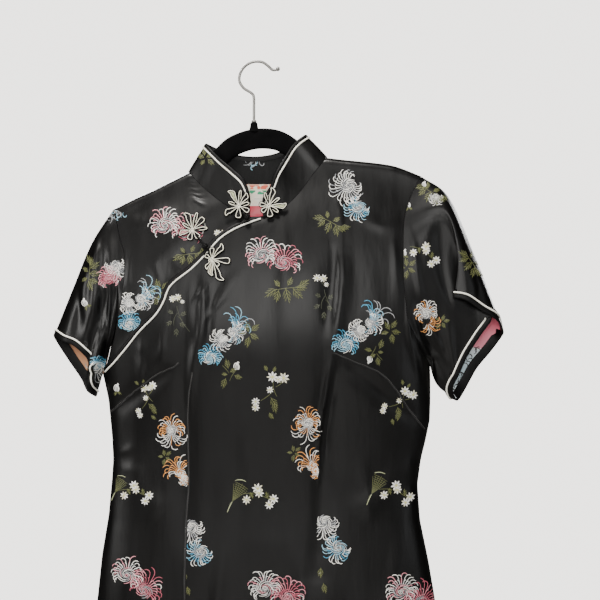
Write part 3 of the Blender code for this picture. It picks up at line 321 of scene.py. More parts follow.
# Creases: rise in mm (negative: a hollow), half width in mm, then x, z along the crease.
FRONT_CREASES = [
    # below the chest frog and down to the left waist dart
    (2.3, 5.0, -63, -256, -61, -292, -64, -324, -74, -372, -78, -428),
    (2.0, 6.0, -21, -250, -35, -276, -47, -292, -57, -308),
    (1.4, 4.0, -51, -268, -65, -276, -73, -292),
    (-1.8, 7.0, -44, -262, -52, -300, -54, -360),
    # the wearer's left of the chest
    (2.4, 3.6, 94, -134, 99, -168, 102, -214, 100, -272, 94, -332, 90, -352),
    (-1.5, 5.0, 88, -200, 93, -250, 88, -320),
    (3.0, 9.0, 106, -228, 103, -268, 95, -324, 91, -348),
    (-2.6, 10.0, 91, -216, 88, -276, 84, -320),
    (3.4, 3.6, 91, -348, 83, -396, 76, -444, 75, -500),
    (-1.8, 5.0, 100, -352, 92, -396, 85, -444, 83, -500),
    (1.6, 8.0, 81, -128, 97, -172, 101, -200),
    (1.8, 12.0, 33, -188, 35, -260, 37, -348),
    (1.1, 10.0, 3, -292, 3, -372),
    (2.2, 6.0, 193, -348, 209, -372),
    (1.8, 5.0, 185, -324, 201, -364),
    (-1.6, 5.0, 190, -300, 197, -336, 206, -356),
    (1.4, 16.0, 120, -180, 150, -196, 176, -190),
    (1.9, 10.0, 164, -210, 168, -260, 172, -310),
    (1.8, 3.5, 178, -270, 181, -310, 184, -350),
    (1.6, 3.0, 186, -336, 190, -360, 196, -384),
    # gathers at the neck point and below the neck
    (1.8, 3.5, 7, -188, 13, -204, 9, -220),
    (1.2, 3.0, -5, -194, 1, -208),
    (1.1, 2.2, 100, -120, 118, -125, 134, -126),
    (0.9, 2.0, 108, -118, 126, -121),
    (1.6, 3.0, -60, -244, -60, -275, -61, -301),
    (1.4, 3.0, -76, -262, -75, -300, -74, -345, -76, -405),
    # below the armhole on the wearer's right, beside the opening
    (1.6, 5.0, -133, -330, -134, -348),
    (1.8, 6.0, -134, -344, -136, -388),
    (1.4, 5.0, -91, -292, -93, -324),
    (1.2, 9.0, -108, -320, -110, -360),
    # waist and hips
    (1.2, 5.0, -167, -468, -143, -460),
    (1.1, 5.0, -163, -484, -131, -488),
    (1.4, 12.0, -140, -440, -144, -520),
    (1.6, 12.0, -10, -430, -6, -520),
    (1.6, 12.0, 125, -468, 137, -540),
    (2.3, 14.0, -35, -568, -47, -660, -52, -760),
    (2.0, 12.0, 53, -588, 57, -680, 60, -800),
    (2.6, 14.0, 177, -548, 161, -660, 158, -790),
    (1.9, 14.0, -151, -568, -163, -660, -160, -780),
    (-2.2, 16.0, 108, -600, 112, -760, 120, -980),
    (-1.9, 15.0, -100, -620, -104, -800, -110, -1000),
    (1.8, 17.0, 10, -820, 14, -960, 8, -1120),
    (1.6, 12.0, -130, -860, -128, -1120),
    (1.9, 13.0, 150, -880, 156, -1120),
]
UNDERLAP_CREASES = [
    (-0.8, 2.0, -83, -140, -74, -144, -63, -142),
    (-0.8, 1.8, -84, -146, -73, -150, -62, -147),
    (-0.7, 1.8, -82, -152, -70, -157, -60, -154),
    (-0.7, 2.0, -78, -158, -66, -163, -57, -161),
    (0.9, 3.0, -74, -165, -60, -172),
    (2.2, 14.0, -151, -200, -119, -188, -83, -192),
    (-1.4, 9.0, -150, -180, -125, -172),
    (1.9, 5.5, -98, -234, -86, -250, -84, -262),
    (-1.4, 4.0, -92, -226, -80, -240),
    (1.5, 5.0, -120, -236, -112, -262),
    (1.2, 7.0, -149, -232, -151, -272),
    (1.1, 5.0, -64, -186, -72, -200),
]
BACK_CREASES = [
    (2.2, 12.0, -140, -210, -60, -240, 20, -244, 120, -226, 170, -205),
    (1.9, 10.0, -120, -262, -40, -290, 60, -292, 150, -262),
    (2.2, 9.0, -96, -190, -98, -300, -84, -400),
    (2.0, 10.0, 112, -184, 110, -300, 94, -410),
    (-1.9, 12.0, 6, -170, 8, -300, 4, -430),
    (1.6, 6.0, -166, -420, -120, -436, -70, -470),
    (1.6, 6.0, 196, -430, 140, -446, 90, -474),
    (1.2, 5.0, -160, -450, -110, -470),
    (1.4, 5.0, 190, -462, 130, -484),
    (2.2, 14.0, -40, -560, -44, -700, -40, -860),
    (2.0, 14.0, 58, -560, 62, -720, 70, -900),
    (-2.0, 16.0, 110, -620, 116, -800, 120, -1000),
    (-1.8, 16.0, -110, -620, -114, -820, -118, -1010),
    (2.0, 14.0, 160, -640, 158, -800, 154, -980),
    (1.9, 14.0, -152, -660, -158, -820, -156, -1000),
    (1.8, 16.0, 0, -860, 4, -1120),
]
LEFT_SLEEVE_CREASES = [
    (2.3, 4.0, 180, -190, 187, -220, 192, -257, 198, -282),
    (-2.7, 8.0, 218, -188, 221, -244, 232, -290),
    (2.0, 5.0, 181, -276, 189, -316, 209, -356),
    (-1.6, 4.0, 195, -292, 201, -324, 217, -348),
    (1.5, 4.0, 211, -348, 221, -384),
    (2.2, 3.5, 200, -296, 212, -322, 232, -364),
    (1.8, 2.6, 195, -346, 206, -350, 217, -350),
    (-1.3, 2.4, 196, -353, 208, -357, 217, -356),
    (1.9, 7.0, 225, -300, 232, -340, 240, -384),
    (0.7, 9.0, 256, -200, 268, -240, 284, -290),
    (-1.2, 8.0, 256, -240, 266, -272, 262, -296),
]
RIGHT_SLEEVE_CREASES = [
    (2.7, 5.0, -189, -200, -191, -248, -193, -316),
    (-2.4, 5.0, -181, -212, -183, -324),
    (3.0, 6.0, -172, -188, -171, -260, -177, -348),
    (-2.2, 4.0, -163, -200, -165, -292, -171, -356),
    (1.6, 4.0, -157, -228, -157, -256),
    (-3.0, 9.0, -210, -270, -212, -330),
    (1.9, 5.0, -200, -240, -206, -300),
]


def catmull_rom(a, b, c, d, t):
    """Points at shares t of the stretch from b to c."""
    return 0.5 * (2 * b + (c - a) * t + (2 * a - 5 * b + 4 * c - d) * t * t
                  + (3 * b - a - 3 * c + d) * t ** 3)


def smooth_curve(points, count):
    """Evenly spaced points on a Catmull-Rom curve through the given ones."""
    pts = np.asarray(points, float)
    padded = np.vstack([2 * pts[0] - pts[1], pts, 2 * pts[-1] - pts[-2]])
    t = np.linspace(0, 1, 24, endpoint=False)[:, None]
    fine = []
    for i in range(len(pts) - 1):
        a, b, c, d = padded[i:i + 4]
        fine.append(catmull_rom(a, b, c, d, t))
    return evenly(np.vstack(fine + [pts[-1:]]), count)


def lengths_along(points):
    return np.r_[0, np.cumsum(np.linalg.norm(np.diff(points, axis=0), axis=1))]


def at_lengths(points, wanted):
    steps = lengths_along(points)
    return np.column_stack([np.interp(wanted, steps, points[:, k]) for k in range(points.shape[1])])


def evenly(points, count):
    return at_lengths(points, np.linspace(0, lengths_along(points)[-1], count))


def at_shares(points, shares):
    """Points at shares of a curve's length."""
    return at_lengths(points, np.atleast_1d(shares) * lengths_along(points)[-1])


def mm_curve(table, count=120):
    return smooth_curve(np.array(table) * MM, count)


def part_edge(table, count, **ends):
    """Points along an edge of a panel, closer together near the chosen ends."""
    return at_shares(mm_curve(table), eased(count, **ends))


def unit(vectors):
    return vectors / np.maximum(np.linalg.norm(vectors, axis=-1, keepdims=True), 1e-12)


BODY_ROWS = np.array(BODY, float) * MM
SHOULDER_LINE = np.array(SHOULDER_LEFT + SHOULDER_RIGHT) * MM
FINE_Z = np.arange(-1130, -98, 2.0) * MM


def softened(column, reach=26 * MM):
    """A column of the body's table at FINE_Z, with its corners rounded off."""
    straight = np.interp(-FINE_Z, -BODY_ROWS[:, 0], BODY_ROWS[:, column])
    weights = np.exp(-((FINE_Z[:, None] - FINE_Z[None]) / reach) ** 2)
    return weights @ straight / weights.sum(axis=1)


SOFT_COLUMNS = {column: softened(column) for column in (3, 4)}


def body_column(column, z):
    """Left and right edge (1, 2) as in the solids, and front and back depth (3, 4) softened."""
    if column in SOFT_COLUMNS:
        return np.interp(z, FINE_Z, SOFT_COLUMNS[column])
    return np.interp(-z, -BODY_ROWS[:, 0], BODY_ROWS[:, column])


def shoulder_z(x):
    return np.interp(x, SHOULDER_LINE[:, 0], SHOULDER_LINE[:, 1])


def beside_line(x, z, ax, az, bx, bz):
    """Share along a straight line and distance from it."""
    share = ((x - ax) * (bx - ax) + (z - az) * (bz - az)) / ((bx - ax) ** 2 + (bz - az) ** 2)
    share = np.clip(share, 0, 1)
    return share, np.hypot(x - ax - share * (bx - ax), z - az - share * (bz - az))


def line_relief(rows, x, z):
    """Height of the darts and large folds in a table of straight lines."""
    total = np.zeros(np.shape(x))
    for *ends, rise, half in rows:
        held, away = beside_line(x, z, *(v * MM for v in ends))
        fade = np.minimum(1, 6 * np.maximum(held, 0.02))
        if ends[-1] * MM > HEM_Z:
            fade = fade * np.minimum(1, 6 * (1.02 - held))
        total += rise * MM * fade * np.exp(-(away / (half * MM)) ** 2)
    return total


def crease_relief(rows, x, z):
    """Height of the soft uneven creases in a table of curved lines."""
    total = np.zeros(np.shape(x))
    for k, (rise, half, *flat) in enumerate(rows):
        line = smooth_curve(np.array(flat, float).reshape(-1, 2) * MM, 14)
        best = np.full(np.shape(x), np.inf)
        share = np.zeros(np.shape(x))
        for i, (start, end) in enumerate(zip(line, line[1:])):
            t, away = beside_line(x, z, *start, *end)
            nearer = away < best
            best = np.where(nearer, away, best)
            share = np.where(nearer, (i + t) / (len(line) - 1), share)
        uneven = 0.82 + 0.18 * np.sin(5.1 * share + 2.3 * k)
        runs_off = flat[-1] * MM <= HEM_Z
        taper = np.sin(math.pi * np.clip(share * (0.5 if runs_off else 1.0), 0.02, 0.98)) ** 0.7
        width = half * MM * (0.75 + 0.35 * np.sin(3.1 * share + k))
        total += rise * MM * uneven * taper * np.exp(-(best / width) ** 2)
    return total


def ripple(x, z, seed):
    """Faint unevenness of hanging satin, longer down the cloth than across it."""
    total = np.zeros(np.shape(x))
    rng = random.Random(seed)
    for _ in range(14):
        across = rng.uniform(40, 190)
        down = rng.uniform(6, 60)
        wave = np.sin(across * x + down * z + rng.uniform(0, 6.3))
        total += math.pow(60 / (across + down), 0.9) * wave
    return 0.055 * MM * total


def across_share(x, z):
    """0 in the middle of the dress and 1 at its sides."""
    left, right = body_column(1, z), body_column(2, z)
    return np.minimum(np.abs(2 * x - left - right) / (right - left), 1.0)


def swell(x, z, depth_column):
    """Depth of a smooth face without its seam gap, and how far in from its edges it is."""
    across = across_share(x, z)
    lens = (1 - across ** 2.6) ** 0.6
    edge = (1 - across ** 24) ** 0.5
    drop = np.maximum(shoulder_z(x) - z, 0.0)
    ridge = RIDGE * (1 - np.exp(-drop / RIDGE_DROP)) * edge
    fill = 1 - np.exp(-(drop / FILL_DROP) ** 1.3)
    return ridge + lens * fill * np.maximum(body_column(depth_column, z) - RIDGE, 0.0), lens * fill


def slit_gap(x, z):
    below = np.maximum(SLIT_TOP - z, 0.0) / (SLIT_TOP - HEM_Z)
    return SLIT_OPEN * below * across_share(x, z) ** 8


def face_depth(x, z, side):
    """Y of the front (side -1) or the back (+1), as in the solids."""
    out, inside = swell(x, z, 3 if side < 0 else 4)
    darts = line_relief(FRONT_DARTS if side < 0 else BACK_DARTS, x, z)
    folds = line_relief(FRONT_FOLDS if side < 0 else BACK_FOLDS, x, z)
    return side * (HALF_SEAM + out + slit_gap(x, z) + inside * (folds - darts))


def creased(x, z, side, rows, hold, seed):
    """The same with creases and ripple, which fade out towards the edges."""
    _, inside = swell(x, z, 3 if side < 0 else 4)
    relief = crease_relief(rows, x, z) + ripple(x, z, seed)
    return face_depth(x, z, side) + side * (inside ** hold) * relief


front_y = partial(face_depth, side=-1)
back_y = partial(face_depth, side=1)
creased_front = partial(creased, side=-1, rows=FRONT_CREASES, hold=0.5, seed=3)
creased_underlap = partial(creased, side=-1, rows=UNDERLAP_CREASES, hold=0.35, seed=5)
creased_back = partial(creased, side=1, rows=BACK_CREASES, hold=0.5, seed=7)


def slope_normals(depth, x, z, side):
    """Unit normals of a depth function, towards -Y for the front and +Y for the back."""
    step = 0.6 * MM
    dx = (depth(x + step, z) - depth(x - step, z)) / (2 * step)
    dz = (depth(x, z + step) - depth(x, z - step)) / (2 * step)
    return unit(np.stack([dx, np.full(np.shape(x), -1.0), dz], axis=-1)) * (1 if side < 0 else -1)


def mesh_object(name, vertices, faces, kinds, face_kinds=None, sharp=None):
    """An object from arrays; kinds are its materials' names, face_kinds one index a face."""
    mesh = bpy.data.meshes.new(name)
    mesh.from_pydata(np.asarray(vertices, float).tolist(), [], [list(face) for face in faces])
    for kind in kinds:
        mesh.materials.append(material(kind))
    if face_kinds is not None:
        mesh.polygons.foreach_set("material_index", np.asarray(face_kinds, np.int32))
    mesh.shade_smooth()
    if sharp:
        mesh.set_sharp_from_angle(angle=sharp)
    mesh.validate()
    obj = bpy.data.objects.new(name, mesh)
    bpy.context.collection.objects.link(obj)
    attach(obj, "root")
    return obj


def signed_volume(vertices, faces):
    """Six times the volume inside four-cornered faces: negative if they are wound inwards."""
    a, b, c, d = (vertices[faces[:, k]] for k in range(4))
    return np.sum(a * np.cross(b, c)) + np.sum(a * np.cross(c, d))


def shell(name, outer, inner, kinds, closed=False):
    """A thin shell between two grids of points; the inner one takes the last material."""
    rows, columns = outer.shape[:2]
    index = np.arange(rows * columns).reshape(rows, columns)
    if closed:
        index = np.hstack([index, index[:, :1]])
    a, b, c, d = index[:-1, :-1], index[:-1, 1:], index[1:, 1:], index[1:, :-1]
    skin = np.stack([a, b, c, d], axis=-1).reshape(-1, 4)
    under = rows * columns
    parts = [skin, skin[:, ::-1] + under, border(index[0], under)[:, ::-1], border(index[-1], under)]
    if not closed:
        parts += [border(index[:, 0], under), border(index[:, -1], under)[:, ::-1]]
    faces = np.vstack(parts)
    inside = np.zeros(len(faces), int)
    inside[len(skin):2 * len(skin)] = len(kinds) - 1
    vertices = np.vstack([outer.reshape(-1, 3), inner.reshape(-1, 3)])
    if signed_volume(vertices, faces) < 0:
        faces = faces[:, ::-1]
    return mesh_object(name, vertices, faces, kinds, inside, sharp=1.0)


def border(line, under):
    return np.stack([line[:-1], line[:-1] + under, line[1:] + under, line[1:]], axis=-1)


def eased(count, start=False, end=False, pull=0.75):
    """Shares from 0 to 1, closer together near the chosen ends."""
    t = np.linspace(0, 1, count)
    bent = t
    if start and end:
        bent = 0.5 - 0.5 * np.cos(math.pi * t)
    elif start:
        bent = 1 - np.cos(math.pi * t / 2)
    elif end:
        bent = np.sin(math.pi * t / 2)
    return (1 - pull) * t + pull * bent


def down_shares(count):
    """Shares down a panel: very close together over the shoulder ridge, then even."""
    ridge = [0, 0.0004, 0.0010, 0.0018, 0.0030, 0.0046, 0.0066, 0.0092, 0.0125, 0.0165, 0.0210]
    return np.r_[ridge, np.linspace(0.0255, 1.0, count - len(ridge))]


def panel_grid(top, bottom, left, right, shares):
    """Coons patch in x and z. top and bottom run left to right, left and right run down."""
    u = (lengths_along(bottom) / lengths_along(bottom)[-1])[None, :, None]
    v = shares[:, None, None]
    ruled = (1 - v) * top[None] + v * bottom[None]
    sides = (1 - u) * left[:, None] + u * right[:, None]
    corners = (1 - v) * ((1 - u) * top[0] + u * top[-1]) + v * ((1 - u) * bottom[0] + u * bottom[-1])
    return ruled + sides - corners


def side_line(side, arm, z_end, shares):
    """A panel's side from the shoulder down its armhole and side seam to z_end."""
    underarm = arm[-1]
    zs = np.linspace(underarm[1], z_end, 120)[1:]
    column = 1 if side < 0 else 2
    seam = np.column_stack([body_column(column, zs), zs])
    off_seam = underarm[0] - body_column(column, underarm[1])
    seam[:, 0] += off_seam * np.exp((zs - underarm[1]) / SEAM_EASE)
    return at_shares(np.vstack([arm, seam]), shares)


def hem_line(top, z=HEM_Z):
    left, right = body_column(1, z), body_column(2, z)
    share = (top[:, 0] - top[0, 0]) / (top[-1, 0] - top[0, 0])
    return np.column_stack([left + (right - left) * share, np.full(len(top), z)])


def join_curves(*curves):
    return np.vstack([curves[0]] + [c[1:] for c in curves[1:]])


def panel(name, grid, depth, side, seams, inset=None):
    """Give a panel's x-z grid its depth and thickness. seams holds the in-plane normals of
    points on seams and zeros elsewhere."""
    x, z = grid[..., 0], grid[..., 1]
    on_seam = np.linalg.norm(seams, axis=-1) > 0.5
    normals = slope_normals(depth, x, z, side)
    low = normals[-1]
    low[:, 2] = 0
    normals[-1] = unit(low)
    normals[on_seam] = seams[on_seam]
    y = depth(x, z)
    y[on_seam & (z > SLIT_TOP - 5 * MM)] = side * HALF_SEAM
    outer = np.stack([x, y, z], axis=-1)
    if inset is not None:
        outer = outer - np.where(on_seam, 0.0, inset(x, z))[..., None] * normals
    inner = outer - WALL * normals
    shallow = side * inner[..., 1] < HALF_SEAM
    inner[..., 1] = np.where(shallow, side * HALF_SEAM, inner[..., 1])
    return shell(name, outer, inner, ["satin", "reverse"])


def no_seams(grid):
    return np.zeros(grid.shape[:2] + (3,))


def opening_edge(count=None, out=EDGE_BAND, shares=None):
    """The edge of the slanting opening, outside its piping, at even steps or at shares."""
    line = mm_curve(OPENING, 160)
    along = unit(np.gradient(line, axis=0))
    moved = line + np.column_stack([-along[:, 1], along[:, 0]]) * out
    return evenly(moved, count) if shares is None else at_shares(moved, shares)


def front_panel():
    neck = part_edge(NECK_FRONT_RIGHT, 28, end=True)
    edge = opening_edge(shares=eased(64, start=True))
    edge[0] = np.array(OPENING_FOOT) * MM
    edge[-1] = neck[0]
    shoulder = part_edge(SHOULDER_RIGHT, 42, end=True)
    top = join_curves(edge, neck, shoulder)
    shares = down_shares(280)
    left = side_line(-1, np.array([top[0]]), HEM_Z, shares)
    right = side_line(1, mm_curve(ARM_RIGHT_FRONT), HEM_Z, shares)
    grid = panel_grid(top, hem_line(top), left, right, shares)
    seams = no_seams(grid)
    seams[0, len(edge) + len(neck) - 2:] = (0, 0, 1)
    seams[:, 0] = (-1, 0, 0)
    seams[grid[:, -1, 1] < ARM_RIGHT_FRONT[-1][1] * MM + 1e-6, -1] = (1, 0, 0)
    return panel("cloth_front", grid, creased_front, -1, seams)


def lap_inset(x, z):
    """How far the underlap lies behind the front, by its distance to the opening."""
    line = LAP_LINE
    gaps = np.hypot(line[:, 0] - x[..., None], line[:, 1] - z[..., None])
    k = np.argmin(gaps, axis=-1)
    nearest = np.take_along_axis(gaps, k[..., None], -1)[..., 0]
    ahead, behind = line[np.minimum(k + 1, len(line) - 1)], line[np.maximum(k - 1, 0)]
    along = ahead - behind
    above = along[..., 0] * (z - line[k, 1]) - along[..., 1] * (x - line[k, 0]) > 0
    near = np.maximum(np.minimum(nearest / LAP_FADE, 1.0) - 0.08, 0.0) / 0.92
    return LAP_INSET * np.where(above, (1 - near) ** 2 * (1 + 2 * near), 1.0)


def underlap_panel():
    shoulder = part_edge(SHOULDER_LEFT, 36, start=True)
    neck = part_edge(NECK_FRONT_LEFT, 30, start=True)
    top = join_curves(shoulder, neck)
    low = opening_edge(len(top), out=EDGE_BAND - LAP_WIDTH)
    shares = np.r_[0.0, 0.002, 0.005, 0.009, 0.014, 0.021, 0.03, 0.042, 0.056,
                   np.linspace(0.072, 1.0, 82)]
    left = side_line(-1, mm_curve(ARM_LEFT_FRONT), LAP_FOOT_Z, shares)
    left[:, 0] += np.clip((LAP_CLEAR_Z - left[:, 1]) / LAP_CLEAR_FADE, 0, 1) * LAP_CLEAR
    low[0] = left[-1]
    right = top[-1] * (1 - shares[:, None]) + low[-1] * shares[:, None]
    grid = panel_grid(top, low, left, right, shares)
    seams = no_seams(grid)
    seams[0, :len(shoulder)] = (0, 0, 1)
    seams[grid[:, 0, 1] < LAP_SEAM_Z, 0] = (-1, 0, 0)
    return panel("cloth_underlap", grid, creased_underlap, -1, seams, lap_inset)


def back_panel():
    left_shoulder = part_edge(SHOULDER_LEFT, 40, start=True)
    neck = part_edge(NECK_BACK, 46, start=True, end=True)
    right_shoulder = part_edge(SHOULDER_RIGHT, 40, end=True)
    top = join_curves(left_shoulder, neck, right_shoulder)
    shares = down_shares(270)
    left = side_line(-1, mm_curve(ARM_LEFT_BACK), HEM_Z, shares)
    right = side_line(1, mm_curve(ARM_RIGHT_BACK), HEM_Z, shares)
    grid = panel_grid(top, hem_line(top), left, right, shares)
    seams = no_seams(grid)
    seams[0, :len(left_shoulder)] = (0, 0, 1)
    seams[0, len(left_shoulder) + len(neck) - 2:] = (0, 0, 1)
    seams[grid[:, 0, 1] < ARM_LEFT_BACK[-1][1] * MM + 1e-6, 0] = (-1, 0, 0)
    seams[grid[:, -1, 1] < ARM_RIGHT_BACK[-1][1] * MM + 1e-6, -1] = (1, 0, 0)
    return panel("cloth_back", grid, creased_back, 1, seams)


def sleeve_lines(front_rows, back_rows):
    """The sleeve's lengthwise lines: share of the armhole, face and three points each."""
    lines = []
    for rows, face in ((front_rows, -1), (back_rows, 1)):
        for row in rows:
            places = [np.array([row[k], row[k + 2], row[k + 1]]) * MM for k in (1, 4, 7)]
            lines.append((row[0], face, places))
    return lines


def armhole_ring(lines, arm_front, arm_back, side, per_span):
    """Ring of points beside the body's armhole edge, with the body's normals there."""
    points, normals = [], []
    for k, (share, face, _) in enumerate(lines):
        next_share, next_face, _ = lines[(k + 1) % len(lines)]
        on_back = face > 0 or (next_face > 0 and share == 1.0)
        curve, depth = (arm_back, creased_back) if on_back else (arm_front, creased_front)
        if side < 0 and not on_back:
            depth = creased_underlap
        s = share + (next_share - share) * np.arange(per_span) / per_span
        place = at_shares(curve, s)
        ahead, behind = at_shares(curve, np.minimum(s + 0.01, 1)), at_shares(curve, np.maximum(s - 0.01, 0))
        run = unit(ahead - behind)
        out = np.column_stack([-run[:, 1], np.zeros(per_span), run[:, 0]]) * side
        normal = slope_normals(depth, place[:, 0], place[:, 1], 1 if on_back else -1)
        y = depth(place[:, 0], place[:, 1])
        y[(s == 0.0) | (s == 1.0)] = 0.0
        normal[s == 0.0] = (0.0, 0.0, 1.0)
        normal[s == 1.0] = (-side * 0.6, 0.0, -0.8)
        points.append(np.column_stack([place[:, 0], y, place[:, 1]]) + out * ARM_GAP)
        normals.append(normal)
    return np.vstack(points), np.vstack(normals)


def closed_curve(points, per_span):
    """Catmull-Rom points round a closed loop, per_span to each stretch."""
    n = len(points)
    t = (np.arange(per_span) / per_span)[:, None]
    stretches = ([points[(i + k) % n] for k in (-1, 0, 1, 2)] for i in range(n))
    return np.vstack([catmull_rom(*ends, t) for ends in stretches])


def ring_normals(rings):
    """Outward unit normals of a tube given as rings of points."""
    along = np.gradient(rings, axis=0)
    around = np.roll(rings, -1, axis=1) - np.roll(rings, 1, axis=1)
    normals = unit(np.cross(around, along))
    middle = rings[len(rings) // 2].mean(axis=0)
    outward = np.sum(normals[len(rings) // 2] * (rings[len(rings) // 2] - middle), axis=1)
    return normals if outward.mean() > 0 else -normals


SLEEVES = {
    # front rows, back rows, armholes, side, creases
    "sleeve_left": (LEFT_SLEEVE_FRONT, LEFT_SLEEVE_BACK, ARM_RIGHT_FRONT, ARM_RIGHT_BACK, 1,
                    LEFT_SLEEVE_CREASES),
    "sleeve_right": (RIGHT_SLEEVE_FRONT, RIGHT_SLEEVE_BACK, ARM_LEFT_FRONT, ARM_LEFT_BACK, -1,
                     RIGHT_SLEEVE_CREASES),
}


def sleeve_rings(name, rows=74, per_span=14):
    """The sleeve's outer skin as rings from armhole to cuff, with its normals."""
    front_rows, back_rows, arm_front, arm_back, side, creases = SLEEVES[name]
    lines = sleeve_lines(front_rows, back_rows)
    arms = mm_curve(arm_front, 200), mm_curve(arm_back, 200)
    start, first = armhole_ring(lines, *arms, side, per_span)
    guides = [closed_curve([line[2][k] for line in lines], per_span) for k in range(3)]
    shares = eased(rows, start=True, pull=0.5)
    columns = [at_shares(smooth_curve(places, 90), shares) for places in zip(start, *guides)]
    rings = np.array(columns).transpose(1, 0, 2)
    normals = ring_normals(rings)
    normals[0] = first
    normals[1] = unit(first + normals[1])
    x, z = rings[..., 0], rings[..., 2]
    facing = np.clip(-normals[..., 1] * 1.6, 0, 1)
    behind = np.clip(normals[..., 1] * 1.6, 0, 1)
    grown = np.minimum(shares * 5, 1.0)[:, None]
    relief = facing * crease_relief(creases, x, z)
    relief += 0.6 * behind * crease_relief(creases, x + 6 * MM, z - 9 * MM)
    relief += ripple(x, z, 11 + side)
    rings = rings + (relief * grown)[..., None] * normals
    fresh = ring_normals(rings)
    fresh[0], fresh[1] = normals[0], normals[1]
    return rings, fresh


def sleeve(name):
    rings, normals = SLEEVE_SKINS[name]
    kinds = ["satin", "reverse_" + name]
    return shell("cloth_" + name, rings, rings - WALL * normals, kinds, closed=True)


def collar_curves(count):
    """Foot, top edge and outward normal along the collar."""
    rows = []
    for foot_x, foot_z, top_x, top_z, side, top_out in np.array(COLLAR, float):
        x, z = foot_x * MM, foot_z * MM
        y = 0.0 if side == 0 else (front_y(x, z) if side < 0 else back_y(x, z))
        out = top_out * MM
        rows.append((x, y, z, top_x * MM, y - out if side > 0 else y + out, top_z * MM))
    drawn = smooth_curve(np.array(rows, float), count)
    foot, top = drawn[:, :3], drawn[:, 3:]
    along = np.gradient(foot, axis=0)
    out = unit(np.column_stack([along[:, 1], -along[:, 0], np.zeros(count)]))
    if np.mean(np.sum(out * (foot - foot.mean(axis=0)), axis=1)) < 0:
        out = -out
    return foot, top, out


def collar():
    """Stand collar: two faces with a little fullness between its foot and its edge."""
    foot, top, out = collar_curves(240)
    heights = np.linspace(0, 1, 18)[:, None, None]
    outer = foot * (1 - heights) + top * heights
    along = lengths_along(foot)
    full = np.sin(math.pi * heights[..., 0]) * (0.35 + 0.25 * np.sin(along * 95)[None])
    soft = full * MM * np.minimum(1, np.minimum(along, along[-1] - along) / (20 * MM))
    outer = outer + soft[..., None] * out
    return shell("cloth_collar", outer, outer - COLLAR_WALL * out, ["satin", "collar_inside"])


def sweep(name, centre, normals, across, profile, kind, closed=False, sharp=None):
    """Carry a closed profile of (u across, v along the normal) down a path, in mm."""
    shape = np.array(profile, float) * MM
    u, v = shape[:, 0][None, :, None], shape[:, 1][None, :, None]
    rings = centre[:, None] + across[:, None] * u + normals[:, None] * v
    return loft(name, rings, kind, closed, sharp)


def loft(name, rings, kind, closed=False, sharp=None):
    """A closed body through rings of points, with flat ends unless the path is closed."""
    count, sides = rings.shape[:2]
    index = np.arange(count * sides).reshape(count, sides)
    after = np.roll(index, -1, axis=0) if closed else index[1:]
    before = index if closed else index[:-1]
    turned, after_turned = np.roll(before, -1, axis=1), np.roll(after, -1, axis=1)
    faces = np.stack([before, turned, after_turned, after], axis=-1).reshape(-1, 4)
    vertices = rings.reshape(-1, 3)
    if signed_volume(vertices, faces) < 0:
        faces = faces[:, ::-1]
    faces = [tuple(face) for face in faces]
    if not closed:
        faces += end_caps(index, faces[0])
    return mesh_object(name, vertices, faces, [kind], sharp=sharp)


def end_caps(index, first_face):
    """Flat ends of a loft, wound so that they face out."""
    ahead = tuple(index[0, :2]) in [(first_face[k], first_face[(k + 1) % 4]) for k in range(4)]
    first, last = tuple(index[0]), tuple(index[-1])
    return [first[::-1], last] if ahead else [first, last[::-1]]


def round_profile(radius, lift, sides=10):
    turn = [2 * math.pi * k / sides for k in range(sides)]
    return [(radius * math.cos(a), lift + radius * math.sin(a)) for a in turn]


PIPING_PROFILE = round_profile(1.05, 0.95)
# The black binding folded over an edge: u runs from the edge into the panel.
BINDING_PROFILE = [
    (3.9, 0.15), (3.8, 0.6), (2.8, 0.85), (1.3, 0.9), (0.2, 0.7), (-0.45, 0.2), (-0.55, -0.5),
    (-0.45, -1.2), (0.2, -1.65), (1.5, -1.85), (4.0, -1.85), (5.6, -1.75), (5.7, -1.4), (4.0, -1.2),
    (1.0, -1.2), (0.15, -0.9), (0.1, -0.2), (0.5, 0.12),
]
CUFF_WIDER = 1.8         # mm the band at a cuff is wider than at the other edges
CUFF_BINDING_PROFILE = [(u + (5.0 if v < -1 else CUFF_WIDER) * (u > 2.5), v)
                        for u, v in BINDING_PROFILE]
COLLAR_BINDING_PROFILE = [(u, v - (1.1 if v < -0.3 else 0.0)) for u, v in BINDING_PROFILE]
PIPING_TAIL = [(2.0, -189.8), (6.5, -188.4)]     # the opening's piping runs on under the frog


def stands_for(obj, node):
    """The piece takes the place of a solid, which is hidden."""
    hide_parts(node)


def trim(kind, place, centre, normals, across, profile, closed=False):
    """Piping or binding of one edge: piping_of_opening stands for piping_opening, and so on."""
    obj = sweep(f"{kind}_of_{place}", centre, normals, across, profile, kind, closed, sharp=1.2)
    stands_for(obj, f"{kind}_{place}")


def opening_trim():
    """Piping and black binding along the slanting opening."""
    shares = np.linspace(0.006, 0.994, 190)
    for kind, out, profile in (
            ("piping", 0.0, PIPING_PROFILE), ("binding", EDGE_BAND, BINDING_PROFILE)):
        line = opening_edge(out=out, shares=shares)
        if kind == "piping":
            line = smooth_curve(np.vstack([line[::6], np.array(PIPING_TAIL) * MM]), 200)
        along = unit(np.gradient(line, axis=0))
        x, z = line[:, 0], line[:, 1]
        centre = np.column_stack([x, creased_front(x, z), z])
        normals = slope_normals(creased_front, x, z, -1)
        into = unit(np.column_stack([along[:, 1], np.zeros(len(line)), -along[:, 0]]))
        across = unit(into - np.sum(into * normals, axis=1)[:, None] * normals)
        trim(kind, "opening", centre, normals, across, profile)


